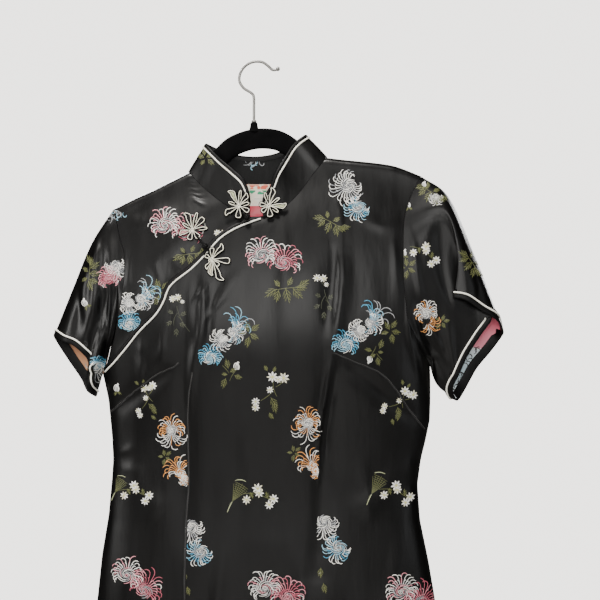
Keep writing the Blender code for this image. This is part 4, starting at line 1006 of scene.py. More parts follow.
def edge_trim(place, edge, into, outward, band, profile, closed=False):
    """Piping a band's width from an edge and binding on it; into points into the cloth."""
    if closed:
        along = unit(np.roll(edge, -1, axis=0) - np.roll(edge, 1, axis=0))
        into = unit(into - np.sum(into * along, axis=1)[:, None] * along)
    else:
        along = unit(np.gradient(edge, axis=0))
    normals = unit(np.cross(along, into))
    normals *= np.sign(np.sum(normals * outward, axis=1))[:, None]
    keep = slice(None) if closed else slice(2, -2)
    for kind, down, shape in (("piping", band, PIPING_PROFILE), ("binding", 0.0, profile)):
        centre = edge + into * down
        trim(kind, place, centre[keep], normals[keep], into[keep], shape, closed)


def collar_trim():
    foot, top, out = collar_curves(240)
    edge_trim("collar", top, -unit(top - foot), out, EDGE_BAND, COLLAR_BINDING_PROFILE)


def cuff_trim(name):
    rings, normals = SLEEVE_SKINS[name]
    into = unit(rings[-3] - rings[-1])
    edge_trim(name.replace("sleeve", "cuff"), rings[-1], into, normals[-1],
              EDGE_BAND + CUFF_WIDER * MM, CUFF_BINDING_PROFILE, closed=True)


def tube(name, points, radii, kind, sides=10, flat=1.0):
    """A tube round a path; flat is its depth along Y as a share of its width."""
    pts = np.asarray(points, float)
    along = unit(np.gradient(pts, axis=0))
    first = unit(np.cross(along, np.array([0.0, 1.0, 0.0])))
    second = np.cross(along, first)
    turn = np.arange(sides) * 2 * math.pi / sides
    radii = np.broadcast_to(radii, len(pts))[:, None, None]
    cos, sin = np.cos(turn)[None, :, None], np.sin(turn)[None, :, None]
    rings = pts[:, None] + radii * (cos * first[:, None] + sin * flat * second[:, None])
    return loft(name, rings, kind)


def joined(name, objs):
    """Join objects into one, keeping their materials."""
    vertices, faces, slots, kinds = [], [], [], []
    for obj in objs:
        kind = obj.data.materials[0].name.removeprefix("looks_")
        if kind not in kinds:
            kinds.append(kind)
        under = len(vertices)
        vertices += [tuple(v.co) for v in obj.data.vertices]
        faces += [tuple(under + v for v in poly.vertices) for poly in obj.data.polygons]
        slots += [kinds.index(kind)] * len(obj.data.polygons)
    for obj in objs:
        bpy.data.objects.remove(obj)
    return mesh_object(name, vertices, faces, kinds, slots, sharp=1.2)


# Flower frogs: middle, how far it stands off the front in mm, whether it keeps to the depth
# of the collar's corner, and its petals: turn in degrees, length and half width in mm, shape
# and, for some leaves, what fills them.
FROG_FLOWERS = {
    "frog_collar_right": ((-19, -173.2), 3.85, True, [
        (114, 21, 2.7, "leaf", "pale_green"), (84, 18, 1.7, "hook"), (48, 17, 2.4, "leaf"),
        (14, 12, 2.2, "hook"), (-30, 13, 2.3, "loop"), (-94, 14, 2.7, "loop"),
        (203, 19, 2.7, "leaf"), (160, 13, 1.8, "hook"),
    ]),
    "frog_collar_left": ((16.5, -173.0), 4.1, True, [
        (70, 21, 2.6, "leaf"), (108, 16, 1.8, "hook"), (36, 15, 1.8, "hook"),
        (-6, 20, 2.7, "leaf", "pale_green"), (-36, 13, 2.0, "hook"),
        (-84, 13, 2.7, "loop"), (-140, 11, 2.1, "loop"), (172, 11, 2.0, "loop"),
    ]),
    "frog_chest_right": ((-74, -201.5), 0.95, False, [
        (105, 22, 2.8, "leaf"), (76, 21, 2.0, "hook"), (48, 19, 2.6, "loop"),
        (6, 17, 2.2, "hook"), (-52, 12, 2.4, "loop"),
        (-108, 12, 2.5, "loop"), (190, 16, 2.6, "leaf", "pink_fill"),
        (146, 14, 1.8, "hook"),
    ]),
    "frog_chest_left": ((-50.5, -236.5), 2.4, False, [
        (90, 13, 2.1, "loop"), (46, 21, 2.6, "leaf"),
        (-6, 21, 3.0, "loop"), (-44, 11, 2.0, "loop"), (-72, 28, 2.8, "leaf"),
        (-100, 19, 2.3, "leaf", "cream_fill"), (-128, 13, 1.8, "leaf"),
        (150, 9, 1.8, "loop"),
    ]),
}
def petal_line(length, half, shape):
    """A loop of cord from the heart out and back; a leaf ends in a flicked point, a hook
    stays open and curls."""
    line = []
    for t in np.linspace(0, 1, 23):
        reach = math.sin(math.pi * t)
        swing = half * math.sin(2 * math.pi * t)
        if shape == "leaf":
            along = length * reach ** 0.8
            wide = swing * (0.8 + 0.25 * reach)
            wide += 0.20 * length * max(reach - 0.80, 0) / 0.20
            wide += 0.06 * length * math.sin(math.pi * reach)
        elif shape == "hook":
            along = length * (reach if t < 0.62 else reach * 0.94 - 0.35 * (t - 0.62))
            wide = half * (math.sin(2 * math.pi * t) * 0.9 + (0.9 * (t - 0.5) if t > 0.5 else 0))
        else:
            along = length * (1 - (1 - reach) ** 1.25)
            wide = swing * (0.55 + 0.75 * reach)
        line.append((along, wide))
    return line[:19] if shape == "hook" else line


def frog(name):
    """A flower of black cord with cream cord along it, some leaves filled, round a knot."""
    (x0, z0), stand, flat, petals = FROG_FLOWERS[name]
    flat_y = float(front_y(np.array(COLLAR[0][0] * MM), np.array(COLLAR[0][1] * MM)))
    lift = stand * MM + FROG_CORD

    def place(points, out):
        x = (x0 + points[:, 0]) * MM
        z = (z0 + points[:, 1]) * MM
        y = np.full(len(x), flat_y) if flat else front_y(x, z)
        return np.column_stack([x, y - lift - out * MM, z])

    thin = (CREAM_THIN + CREAM_FULL * np.sin(np.linspace(0, math.pi, 34)) ** 0.5) * MM
    pieces = []
    for k, (turn, length, half, shape, *fill) in enumerate(petals):
        along, wide = smooth_curve(np.array(petal_line(length, half, shape)), 34).T
        cos, sin = math.cos(math.radians(turn)), math.sin(math.radians(turn))
        spun = np.column_stack([along * cos - wide * sin, along * sin + wide * cos])
        rise = 0.35 * math.sin(1.7 * k)
        cream = place(spun, rise + 0.45)
        cream[:, 1] -= 0.25 * MM * np.linspace(0, 1, len(cream))
        pieces.append(tube("petal", place(spun, rise - 0.5), PETAL_RADIUS, "frog_black", 8, PETAL_FLAT))
        pieces.append(tube("petal", cream, thin, "cord", 8))
        if shape != "hook":
            filled = place(spun, rise - (0.3 if fill else 0.6))
            pieces.append(leaf_fill(filled, *(fill or ["frog_black"])))
    for dx, dz, radius in FROG_RINGS:
        turn = np.linspace(0, 6.0, 22)
        ring = np.column_stack([dx + radius * np.cos(turn), dz + radius * np.sin(turn)])
        pieces.append(tube("ring", place(ring, 1.0), RING_RADIUS, "cord", 8))
        pieces.append(tube("ring", place(ring, 0.1), RING_UNDER, "frog_black", 8, 0.7))
    stands_for(joined("flower_" + name, pieces), name)


def leaf_fill(rim, kind):
    """A thin padded patch inside a leaf of cord."""
    half = len(rim) // 2
    one, other = rim[1:half], rim[-2:-half - 1:-1]
    middle = (one + other) / 2
    front, back = middle - np.array([0, 0.5 * MM, 0]), middle + np.array([0, 0.4 * MM, 0])
    return loft("fill", np.stack([one, front, other, back], axis=1), kind)


def ball_rings(radius, rows, sides):
    """Rings round Y from the front of a ball to its back."""
    turn = np.arange(sides) * 2 * math.pi / sides
    a = np.linspace(0.06, math.pi - 0.06, rows)[:, None]
    wide, y = radius * np.sin(a), np.broadcast_to(-radius * np.cos(a), (rows, sides))
    return np.stack([wide * np.cos(turn), y, wide * np.sin(turn)], axis=-1)


def knot(centre, radius):
    """A round button knot: a ball with the crossing turns of its cord raised on it."""
    rings = ball_rings(radius, 18, 28)
    x, y, z = rings[..., 0], rings[..., 1], rings[..., 2]
    turns = np.sin(3.0 * np.arctan2(z, x) + 5.0 * y / radius)
    turns = turns * np.sin(2.0 * np.arctan2(y, x) - 4.0 * z / radius)
    return loft("knot", rings * (1 + 0.09 * turns[..., None]) + centre, "frog_black")


def buttons():
    """Black knotted buttons: the chest one fastened in its loop, the collar one undone."""
    for name in ("button_chest", "button_collar"):
        low, high = (np.array(corner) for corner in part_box(name))
        y = low[1] + BUTTON_RADIUS
        if name == "button_chest":
            centre = np.array([-58.5 * MM, y, -221.5 * MM])
            ends = [(-70 * MM, y + 1.5 * MM, -207.5 * MM), (-63.5 * MM, y + 0.6 * MM, -215 * MM),
                    centre, (-53.5 * MM, y + 0.8 * MM, -227.5 * MM)]
        else:
            centre = np.array([high[0] - BUTTON_RADIUS, y, low[2] + BUTTON_RADIUS])
            ends = [(low[0] + 1.6 * MM, y + 1.4 * MM, high[2] - 1.6 * MM),
                    (centre[0] - 4 * MM, y, centre[2] + 5 * MM), centre]
        cord = tube("cord", smooth_curve(ends, 24), BUTTON_CORD, "frog_black")
        pieces = [knot(centre, BUTTON_RADIUS * BUTTON_SHARE), cord]
        stands_for(joined("knotted_" + name, pieces), name)


LABEL_THICK = 0.55 * MM
# How far the label's and tab's top and foot sit above the solid's, and how far forward, mm.
LABEL_RISE = {"neck_label": (8.5, 6.8, 2.2), "size_tab": (7.5, 4.6, 2.6)}


def label_pieces():
    """The woven label and the size tab inside the back neck."""
    for name, kind in (("neck_label", "label"), ("size_tab", "tab")):
        low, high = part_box(name)
        top_rise, foot_rise, forward = (v * MM for v in LABEL_RISE[name])
        zs = np.linspace(high[2] + top_rise, low[2] + foot_rise, 22)
        x, z = np.meshgrid(np.linspace(low[0], high[0], 40), zs)
        uneven = 0.12 * MM * np.sin((x - low[0]) * 160) * np.cos(z * 210)
        y = back_y(x, z) - CLOTH * 1.25 - SEAM - uneven
        y -= forward * (0.3 + 0.7 * (z - zs[-1]) / (zs[0] - zs[-1]))
        back = np.stack([x, y, z], axis=-1)
        front = back - np.array([0, LABEL_THICK, 0])
        stands_for(shell("woven_" + name, front, back, [kind]), name)


def hanger_rows():
    """Centre line and height of the hanger from the wearer's right end to the left one."""
    def under_shoulder(x, height):
        slope = (shoulder_z(x + MM) - shoulder_z(x - MM)) / (2 * MM)
        return (x, shoulder_z(x) - CLOTH - REST_GAP - height / 2 * math.hypot(1, slope), height)
    arch = [tuple(v * MM for v in row) for row in HANGER_ARCH]
    left, right = ([under_shoulder(x * MM, h * MM) for x, h in rows]
                   for rows in (HANGER_LEFT_END, HANGER_RIGHT_END))
    return left + arch + right


def hanger_arms():
    """Flocked arms with a raised rim."""
    path = smooth_curve(np.array(hanger_rows()), 150)
    centre, heights = path[:, :2], path[:, 2]
    along = unit(np.gradient(centre, axis=0))
    up = np.column_stack([-along[:, 1], np.zeros(len(along)), along[:, 0]])
    flat = np.maximum(heights / 2 - HANGER_HALF_THICK, 0.0)
    rings = []
    for k in range(len(path)):
        ring = []
        for a in np.arange(20) * 2 * math.pi / 20:
            level = math.cos(a)
            rise = (level * HANGER_HALF_THICK
                    + (flat[k] if level > 0 else -flat[k]) * min(1.0, abs(level) * 2.2))
            waist = 1 - 0.16 * math.exp(-(rise / (0.45 * heights[k])) ** 4)
            y = math.sin(a) * HANGER_HALF_THICK * waist
            ring.append(np.array([centre[k, 0], y, centre[k, 1]]) + up[k] * rise)
        rings.append(ring)
    return loft("arms", np.array(rings), "velvet")


def hanger():
    """The flocked arms and neck, and the bright steel hook."""
    arms = hanger_arms()
    zs = np.linspace(POST["foot"], POST["top"], 16)
    share = (zs - zs[0]) / (zs[-1] - zs[0])
    narrowed = POST["top_radius"] - POST["foot_radius"]
    wide = POST["foot_radius"] + narrowed * np.sin(share * math.pi / 2)
    wide = wide * np.where(share > 0.93, 0.9, 1.0)
    neck_path = np.column_stack([np.full(16, POST["x"]), np.zeros(16), zs]) * MM
    neck = tube("neck", neck_path, wide * MM, "velvet", 24, 0.6)
    stands_for(joined("flocked_hanger", [arms, neck]), "hanger_body")
    wire = np.insert(mm_curve(HOOK, 140), 1, 0.0, axis=1)
    ferrule = [(POST["x"] * MM, 0.0, z * MM) for z, _ in FERRULE]
    pieces = [tube("wire", wire, HOOK_RADIUS, "steel", 18),
              loft("tip", ball_rings(HOOK_BALL, 12, 18) + wire[-1], "steel"),
              tube("ferrule", ferrule, np.array([radius for _, radius in FERRULE]) * MM, "steel", 18)]
    stands_for(joined("steel_hook", pieces), "hanger_hook")


class Look:
    """A material of its own and short ways to wire its nodes."""

    def __init__(self, kind):
        self.made = bpy.data.materials.new("looks_" + kind)
        self.made.use_nodes = True
        self.tree = self.made.node_tree
        self.shader = self.tree.nodes["Principled BSDF"]

    def node(self, kind, *wires, **values):
        """A node with its inputs' values and, as pairs of an output and a name, their wires."""
        made = self.tree.nodes.new("ShaderNode" + kind)
        give(made, values)
        for source, name in wires:
            self.tree.links.new(source, made.inputs[name])
        return made

    def wire(self, name, source):
        self.tree.links.new(source, self.shader.inputs[name])

    def own_place(self):
        """Place in the object's own metres."""
        return self.node("TexCoord").outputs["Object"]

    def noise(self, scale, turn=0.0, kind="TexNoise", out="Fac", **values):
        """A noise stretched by a scale for each axis."""
        mapping = self.node("Mapping", (self.own_place(), "Vector"), Scale=scale, Rotation=(0, turn, 0))
        return self.node(kind, (mapping.outputs["Vector"], "Vector"), Scale=1.0, **values).outputs[out]

    def between(self, source, **ends):
        return self.node("MapRange", (source, "Value"), **ends).outputs["Result"]

    def ramp(self, source, stops, interpolation="LINEAR"):
        made = self.node("ValToRGB", (source, "Fac"))
        made.color_ramp.interpolation = interpolation
        elements = made.color_ramp.elements
        while len(elements) < len(stops):
            elements.new(0.5)
        for element, (place, colour) in zip(elements, stops):
            element.position = place
            element.color = (*colour, 1)
        return made.outputs["Color"]

    def tones(self, source, low, dark, high, light):
        """Colour the shader between two tones by a noise."""
        self.wire("Base Color", self.ramp(source, [(low, dark), (high, light)]))

    def mix(self, factor, colour, other):
        """Colour the shader by a mix of a fixed colour and another."""
        made = self.node("Mix")
        made.data_type = "RGBA"
        made.inputs["A"].default_value = (*colour, 1)
        self.tree.links.new(factor, made.inputs["Factor"])
        self.tree.links.new(other, made.inputs["B"])
        self.wire("Base Color", made.outputs["Result"])

    def bump(self, *heights):
        """Chained bumps: each a noise, its strength and its distance in mm."""
        last = None
        for socket, strength, distance in heights:
            made = self.node("Bump", (socket, "Height"), Strength=strength, Distance=distance * MM)
            if last:
                self.tree.links.new(last.outputs["Normal"], made.inputs["Normal"])
            last = made
        self.wire("Normal", last.outputs["Normal"])

    def done(self, **values):
        give(self.shader, values)
        return self.made


def give(node, values):
    """Set inputs by their names, written with _ for each space."""
    for name, value in values.items():
        node.inputs[name.replace("_", " ")].default_value = value


def satin_material(kind, dark, light, rough, turn=0.0, shine=0.28, waviness=0.7):
    """Black satin: warp threads down the cloth, a few slubs and a broken sheen."""
    look = Look(kind)
    look.tones(look.noise((26, 26, 5), turn, Detail=5), 0.3, dark, 0.75, light)
    patches = look.noise((60, 60, 14), turn)
    look.wire("Roughness", look.between(patches, To_Min=rough - 0.05, To_Max=rough + 0.08))
    threads = look.noise((2600, 2600, 160), turn)
    slubs = look.noise((420, 420, 20), turn)
    waves = look.noise((48, 48, 7), turn, Detail=3)
    look.bump((threads, 0.3, 0.05), (slubs, 0.6, 0.05), (waves, 1.0, waviness))
    return look.done(Specular_IOR_Level=shine)


def thread_material(kind, colour, shade):
    """Silky coloured thread: fine strands, with painted shade between them where their bump sinks."""
    look = Look(kind)
    strands = look.noise((1500, 1500, 1100), Detail=3)
    # painted shade: the same noise that sinks the bump darkens the colour
    look.tones(strands, 0.32, shade, 0.62, colour)
    look.bump((strands, 0.35, 0.2))
    return look.done(Roughness=0.48, Sheen_Weight=0.25)


def cord_material(kind, colour, shade, turn):
    """Bias-cut satin round a cord: slanting ribs and slight grubbiness."""
    look = Look(kind)
    ribs = look.noise((1900, 700, 260), turn)
    look.tones(look.noise((90, 90, 60)), 0.25, shade, 0.6, colour)
    look.bump((ribs, 0.4, 0.25))
    return look.done(Roughness=0.46, Sheen_Weight=0.2)


def reverse_material(kind, z_top, z_foot, stops, painted_shade_below_x=None):
    """The cloth's wrong side: loose coloured weft, its colour changing down the cloth.
    Where x is below the given limit it is painted near black, as painted shade deep inside the sleeve."""
    look = Look(kind)
    place = look.node("SeparateXYZ", (look.own_place(), "Vector")).outputs
    drift = look.node("Math")
    drift.operation = "MULTIPLY_ADD"
    drift.inputs[1].default_value = 14 * MM
    look.tree.links.new(look.noise((60, 60, 60)), drift.inputs[0])
    look.tree.links.new(place["Z"], drift.inputs[2])
    down = look.between(drift.outputs["Value"], From_Min=z_top + 7 * MM, From_Max=z_foot + 7 * MM)
    bands = look.ramp(down, stops)
    if painted_shade_below_x is None:
        look.wire("Base Color", bands)
    else:
        # painted shade: near black painted on the sleeve's inside below the limit in x
        across = look.between(place["X"], From_Min=painted_shade_below_x - 4 * MM, From_Max=painted_shade_below_x + 4 * MM)
        look.mix(across, (0.006, 0.006, 0.006), bands)
    look.bump((look.noise((160, 160, 1800)), 0.4, 0.3))
    return look.done(Roughness=0.55)


def label_material(kind, z_top, z_foot, stops):
    """Small flower heads in bands of colour down a pale label, with a fine rib."""
    look = Look(kind)
    place = look.node("SeparateXYZ", (look.own_place(), "Vector")).outputs
    bands = look.ramp(look.between(place["Z"], From_Min=z_top, From_Max=z_foot), stops, "CONSTANT")
    dots = look.noise((210, 210, 210), kind="TexVoronoi", out="Distance")
    look.mix(look.ramp(dots, [(0.56, (1, 1, 1)), (0.66, (0, 0, 0))]), (0.93, 0.86, 0.70), bands)
    look.bump((look.noise((300, 300, 2400)), 0.4, 0.2))
    return look.done(Roughness=0.6)


def velvet_material(kind):
    look = Look(kind)
    nap = look.noise((1400, 1400, 1400), Detail=4)
    look.tones(look.noise((40, 40, 40)), 0.3, (0.0017, 0.0017, 0.0019), 0.8, (0.0038, 0.0036, 0.0038))
    look.bump((nap, 0.7, 0.5))
    return look.done(Roughness=0.95, Specular_IOR_Level=0.05, Sheen_Weight=0.02, Sheen_Roughness=0.35)


def steel_material(kind):
    look = Look(kind)
    look.tones(look.noise((8, 8, 8)), 0.3, (0.20, 0.195, 0.185), 0.7, (0.25, 0.245, 0.23))
    return look.done(Metallic=0.4, Roughness=0.35)


def floor_material(kind):
    look = Look(kind)
    look.tones(look.noise((2, 2, 2)), 0.2, (0.20, 0.197, 0.191), 0.8, (0.23, 0.227, 0.221))
    return look.done(Roughness=0.8)


THREADS = {
    # colour and the painted shade between the strands
    "white_thread": ((0.92, 0.91, 0.86), (0.62, 0.61, 0.57)),
    "black_thread": ((0.012, 0.012, 0.013), (0.005, 0.005, 0.005)),
    "cream_thread": ((0.74, 0.71, 0.55), (0.44, 0.41, 0.28)),
    "silver_thread": ((0.40, 0.41, 0.42), (0.20, 0.21, 0.22)),
    # painted highlight: a lighter thread laid along one edge of a sewn line
    "seam_light": ((0.058, 0.054, 0.052), (0.031, 0.029, 0.028)),
    "slate_thread": ((0.20, 0.21, 0.22), (0.09, 0.095, 0.10)),
    "deep_rose_thread": ((0.24, 0.035, 0.06), (0.11, 0.015, 0.03)),
    "deep_blue_thread": ((0.05, 0.17, 0.28), (0.02, 0.07, 0.13)),
    "rust_thread": ((0.36, 0.13, 0.035), (0.18, 0.055, 0.015)),
    "leaf_light": ((0.20, 0.215, 0.05), (0.09, 0.097, 0.024)),
    "pink_thread": ((0.80, 0.36, 0.40), (0.46, 0.13, 0.17)),
    "rose_thread": ((0.58, 0.12, 0.17), (0.28, 0.04, 0.07)),
    "blue_thread": ((0.06, 0.37, 0.56), (0.02, 0.15, 0.27)),
    "pale_blue_thread": ((0.36, 0.62, 0.74), (0.15, 0.31, 0.42)),
    "orange_thread": ((0.84, 0.38, 0.10), (0.48, 0.18, 0.04)),
    "olive_thread": ((0.098, 0.105, 0.022), (0.034, 0.039, 0.010)),
    "moss_thread": ((0.050, 0.056, 0.024), (0.022, 0.025, 0.012)),
    "yellow_thread": ((0.66, 0.64, 0.26), (0.40, 0.38, 0.12)),
    "pale_green": ((0.44, 0.47, 0.27), (0.26, 0.28, 0.15)),
    "cream_fill": ((0.66, 0.60, 0.42), (0.40, 0.36, 0.24)),
    "pink_fill": ((0.55, 0.27, 0.26), (0.33, 0.13, 0.13)),
}
# What makes each material, and the values it is given after its own name.
MAKERS = {kind: (thread_material, *pair) for kind, pair in THREADS.items()}
MAKERS.update({
    "satin": (satin_material, (0.0009, 0.0008, 0.0008), (0.0023, 0.0021, 0.0020), 0.33),
    "binding": (satin_material, (0.0014, 0.0013, 0.0014), (0.0027, 0.0025, 0.0025), 0.42, 0.8, 0.16),
    "frog_black": (satin_material, (0.0011, 0.0011, 0.0012), (0.0025, 0.0024, 0.0024), 0.5, 0.6, 0.15),
    "collar_inside": (satin_material, (0.0008, 0.0009, 0.0010), (0.0030, 0.0031, 0.0032), 0.5,
                      0.1, 0.15, 2.5),
    "piping": (cord_material, (0.96, 0.94, 0.84), (0.84, 0.80, 0.68), 0.7),
    "cord": (cord_material, (0.95, 0.92, 0.76), (0.80, 0.76, 0.58), 0.3),
    "reverse": (reverse_material, -0.11, -1.12, [
        (0.0, (0.010, 0.010, 0.011)), (0.3, (0.020, 0.017, 0.017)), (0.6, (0.012, 0.012, 0.013))]),
    # its last value is the x below which painted shade darkens the sleeve's inside
    "reverse_sleeve_left": (reverse_material, -0.318, -0.400, [
        (0.0, (0.90, 0.20, 0.28)), (0.27, (0.92, 0.30, 0.38)), (0.30, (0.84, 0.88, 0.90)),
        (0.60, (0.62, 0.80, 0.88)), (1.0, (0.80, 0.86, 0.88))], 0.218),
    "reverse_sleeve_right": (reverse_material, -0.330, -0.395, [
        (0.0, (0.10, 0.06, 0.045)), (0.3, (0.50, 0.22, 0.10)), (0.7, (0.80, 0.42, 0.22)),
        (1.0, (0.34, 0.17, 0.10))]),
    "label": (label_material, -0.1455, -0.1712, [
        (0.0, (0.90, 0.48, 0.36)), (0.05, (0.84, 0.17, 0.10)), (0.22, (0.92, 0.80, 0.62)),
        (0.28, (0.04, 0.34, 0.17)), (0.46, (0.93, 0.90, 0.76)), (0.66, (0.62, 0.60, 0.50)),
        (0.68, (0.93, 0.90, 0.78))]),
    "tab": (reverse_material, -0.1715, -0.1874, [
        (0.0, (0.86, 0.07, 0.12)), (0.45, (0.88, 0.24, 0.28)), (0.75, (0.80, 0.06, 0.12))]),
    "velvet": (velvet_material,),
    "steel": (steel_material,),
    "floor": (floor_material,),
})
MADE = {}                 # the materials made so far, by kind


def material(kind):
    if kind not in MADE:
        maker, *values = MAKERS[kind]
        MADE[kind] = maker(kind, *values)
    return MADE[kind]


WHITE, SILVER, PINK, ROSE = "white_thread", "silver_thread", "pink_thread", "rose_thread"
BLUE, PALE, ORANGE = "blue_thread", "pale_blue_thread", "orange_thread"
OLIVE, MOSS = "olive_thread", "moss_thread"
# The darker thread that a petal of each colour starts with.
FOOT_OF = {WHITE: SILVER, PINK: ROSE, ROSE: "deep_rose_thread", BLUE: "deep_blue_thread", PALE: BLUE,
           ORANGE: "rust_thread", SILVER: "slate_thread"}


def heading_of(a):
    return np.array([math.cos(a), math.sin(a)])


def petal(start, heading, length, bend, hook, width, kind, steps=9):
    """A stroke that leaves start at a heading, bends evenly, hooks near its tip and widens to it."""
    points = [np.array(start, float)]
    for k in range(steps):
        t = (k + 0.5) / steps
        turned = heading + bend * t + hook * max(t - 0.58, 0) / 0.42
        points.append(points[-1] + length / steps * heading_of(turned))
    widths = width * (0.42 + 0.58 * np.linspace(0, 1, steps + 1) ** 0.8)
    widths[-1] *= 0.55
    return (np.array(points), widths, kind)


def even(start, heading, length, bend, width, kind, steps=4):
    """A stroke that is fullest in its middle, for leaves and stems."""
    points, _, _ = petal(start, heading, length, bend, 0, width, kind, steps)
    return (points, width * (0.45 + 0.55 * np.sin(math.pi * np.linspace(0.08, 0.92, steps + 1))), kind)


def stems(kind, *rows):
    """Stems from rows of x, z, heading, length, bend, width and steps."""
    return [even((x, z), heading, length, bend, width, kind, steps)
            for x, z, heading, length, bend, width, steps in rows]


def winding(centre, radius, start, sweep_by, width, kind):
    """A petal that closes over the heart: an arc that winds inward."""
    t = np.linspace(0, 1, 8)
    turn = start + sweep_by * t
    reach = radius * (1.0 - 0.30 * t)
    ring = np.column_stack([reach * np.cos(turn), reach * 0.88 * np.sin(turn)])
    return (ring + centre, width * (0.5 + 0.5 * np.sin(math.pi * (0.1 + 0.8 * t))), kind)


def in_two_colours(stroke, share, tip_kind):
    points, widths, kind = stroke
    cut = int(round(share * (len(points) - 1)))
    return [(points[:cut + 1], widths[:cut + 1], kind), (points[cut:], widths[cut:], tip_kind)]


def bulb(rng, centre, radius, kinds):
    """The closed heart of a chrysanthemum: rings of petals wound over each other."""
    strokes = []
    for share, count in ((1.0, 8), (0.76, 7), (0.54, 5), (0.32, 4), (0.15, 2)):
        first = rng.uniform(0, 6.28)
        for k in range(count):
            start = first + 2 * math.pi * k / count + rng.uniform(-0.15, 0.15)
            strokes.append(winding(centre, radius * share, start, 8.0 / count, 0.85, rng.choice(kinds)))
    return strokes


def fan_of_petals(rng, centre, crown, half_fan, reach, inner, kinds, tips, fall):
    """Hooked petals fanned about a crown, longest there, each bowing away from it."""
    strokes = []
    crown, half_fan = math.radians(crown), math.radians(half_fan)
    count = max(3, round(half_fan * 2 / 0.225))
    for k in range(count):
        share = ((k + 0.5 + rng.uniform(-0.25, 0.25)) / count) * 2 - 1
        side = 1 if share > 0 else -1
        a = crown + half_fan * share
        length = (reach - inner * 0.6) * (1.12 - fall * abs(share)) * rng.uniform(0.86, 1.1)
        start = centre + 0.6 * inner * heading_of(a - side * 0.15)
        kind = rng.choice(kinds)
        stroke = petal(start, a - side * 0.1, length, side * (0.2 + 0.5 * abs(share)),
                       side * rng.uniform(1.2, 2.7), rng.uniform(0.85, 1.2), FOOT_OF.get(kind, kind))
        tip = rng.choice(tips) if rng.random() < 0.4 else kind
        strokes += in_two_colours(stroke, rng.uniform(0.3, 0.55), tip)
    for k in range(count - 1):
        share = ((k + 1.0) / count) * 2 - 1
        a = crown + half_fan * share
        start = centre + 0.8 * inner * heading_of(a)
        strokes.append(petal(start, a, (reach - inner) * 0.5, share * 0.8, 1.4 * np.sign(share), 1.1,
                             rng.choice(kinds)))
    return strokes


def mum(crown, half_fan, reach, inner, kinds, tips, heart, at=(0, 0), fall=0.4):
    """A chrysanthemum seen from its side: fanned petals and, over their feet, the heart."""
    at = np.array(at, float)
    return lambda rng: (fan_of_petals(rng, at, crown, half_fan, reach, inner, kinds, tips, fall)
                        + bulb(rng, at, inner, heart))


def spikes(crown, half_fan, reach, kinds, at=(0, 0)):
    """A few long petals that stand well out of a flower."""
    at = np.array(at, float)
    return lambda rng: fan_of_petals(rng, at, crown, half_fan, reach, 5, kinds, kinds, 0.15)


def together(*parts):
    """One motif from several."""
    return lambda rng: [stroke for part in parts for stroke in part(rng)]


def daisies(rng, *rows):
    """Daisies from rows of x, z and radius: eight pointed petals about a yellow eye."""
    strokes = []
    for x, z, radius in rows:
        first = rng.uniform(0, 6.28)
        for k in range(8):
            a = first + 2 * math.pi * k / 8
            kind = WHITE if rng.random() < 0.6 else "cream_thread"
            start = np.array((x, z)) + radius * 0.25 * heading_of(a)
            points, _, _ = petal(start, a, radius * rng.uniform(0.72, 0.86), 0.0, 0.0, 1.0, kind, 4)
            strokes.append((points, radius * np.array([0.16, 0.36, 0.42, 0.30, 0.06]), kind))
            strokes.append(even(start, a, radius * 0.42, 0.0, radius * 0.16, "yellow_thread", 2))
        eye = np.array((x, z)) - np.array([radius * 0.3, 0])
        strokes.append(even(eye, 0, radius * 0.6, 0.0, radius * 0.6, "yellow_thread", 3))
    return strokes


def leaf(base, heading, length, kind, lobes):
    """A jagged leaf: a midrib with slanting lobes that shorten towards its tip."""
    base = np.array(base, float)
    strokes = [even(base, heading, length, 0.15, 0.7, "leaf_light" if kind == OLIVE else kind, 4)]
    for k in range(lobes):
        rib = base + length * (0.10 + 0.72 * k / lobes) * heading_of(heading)
        lobe = length * (0.50 - 0.09 * k)
        for side in (-1, 1):
            strokes.append(even(rib, heading + side * 0.85, lobe, -side * 0.5, 1.0, kind, 3))
            strokes.append(even(rib + lobe * 0.35 * heading_of(heading + side * 0.7),
                                heading + side * 0.35, lobe * 0.5, -side * 0.2, 0.6, kind, 2))
    return strokes


def leaves(*rows, kind=OLIVE, lobes=3):
    """Leaves from rows of x, z, turn in degrees and length."""
    return [stroke for x, z, turn, length in rows
            for stroke in leaf((x, z), math.radians(turn), length, kind, lobes)]


def leaf_spray(_rng):
    return stems(OLIVE, (-15, -3, 0.25, 32, -0.3, 0.8, 7)) + leaves(
        (-10, -1, -150, 15), (-8, -2, -105, 13), (-7, 1, 125, 9), (-1, 0, -80, 16), (1, 2, 60, 10),
        (6, 0, -50, 15), (9, 1, -10, 12), (12, 1, 30, 13))


def small_spray(_rng):
    return leaves((-3, 0, 170, 9), (-1, 2, 95, 11), (1, 0, -35, 11), (2, 3, 35, 11), (0, -3, -105, 12))


def shoot(_rng):
    """A thin stem with one leaf at its foot and one at its head."""
    return stems(SILVER, (-15, -8, 0.75, 17, -0.5, 0.8, 6)) + leaves(
        (0, 6, -95, 12), (3, -12, -80, 12))


def bud_of(x, z):
    rows = ((-1.6, 0.9, 13, -2.7), (-0.6, 0.45, 11, -1.5), (0.4, 0.1, 10, -0.4), (1.3, -0.3, 9, 0.6),
            (2.0, -0.6, 8, 1.6))
    return [petal((x + dx, z - 5), 1.57 + lean, length, turn, turn * 0.4, 1.5, WHITE)
            for dx, lean, length, turn in rows]


def bud(_rng):
    return bud_of(0, 0) + leaves((0, -5, -120, 6), (1, -5, -40, 6), lobes=2)


def bud_spray(_rng):
    return bud_of(6, 3) + stems(
        OLIVE, (6, -2, 3.9, 16, 0.5, 0.8, 6), (-3, -6, 2.2, 12, 0.2, 0.8, 5)) + leaves(
        (-4, -1, 100, 12), (-2, -5, 30, 9), (3, -9, -20, 10), (-7, -12, -110, 13), (-5, -8, 170, 7))


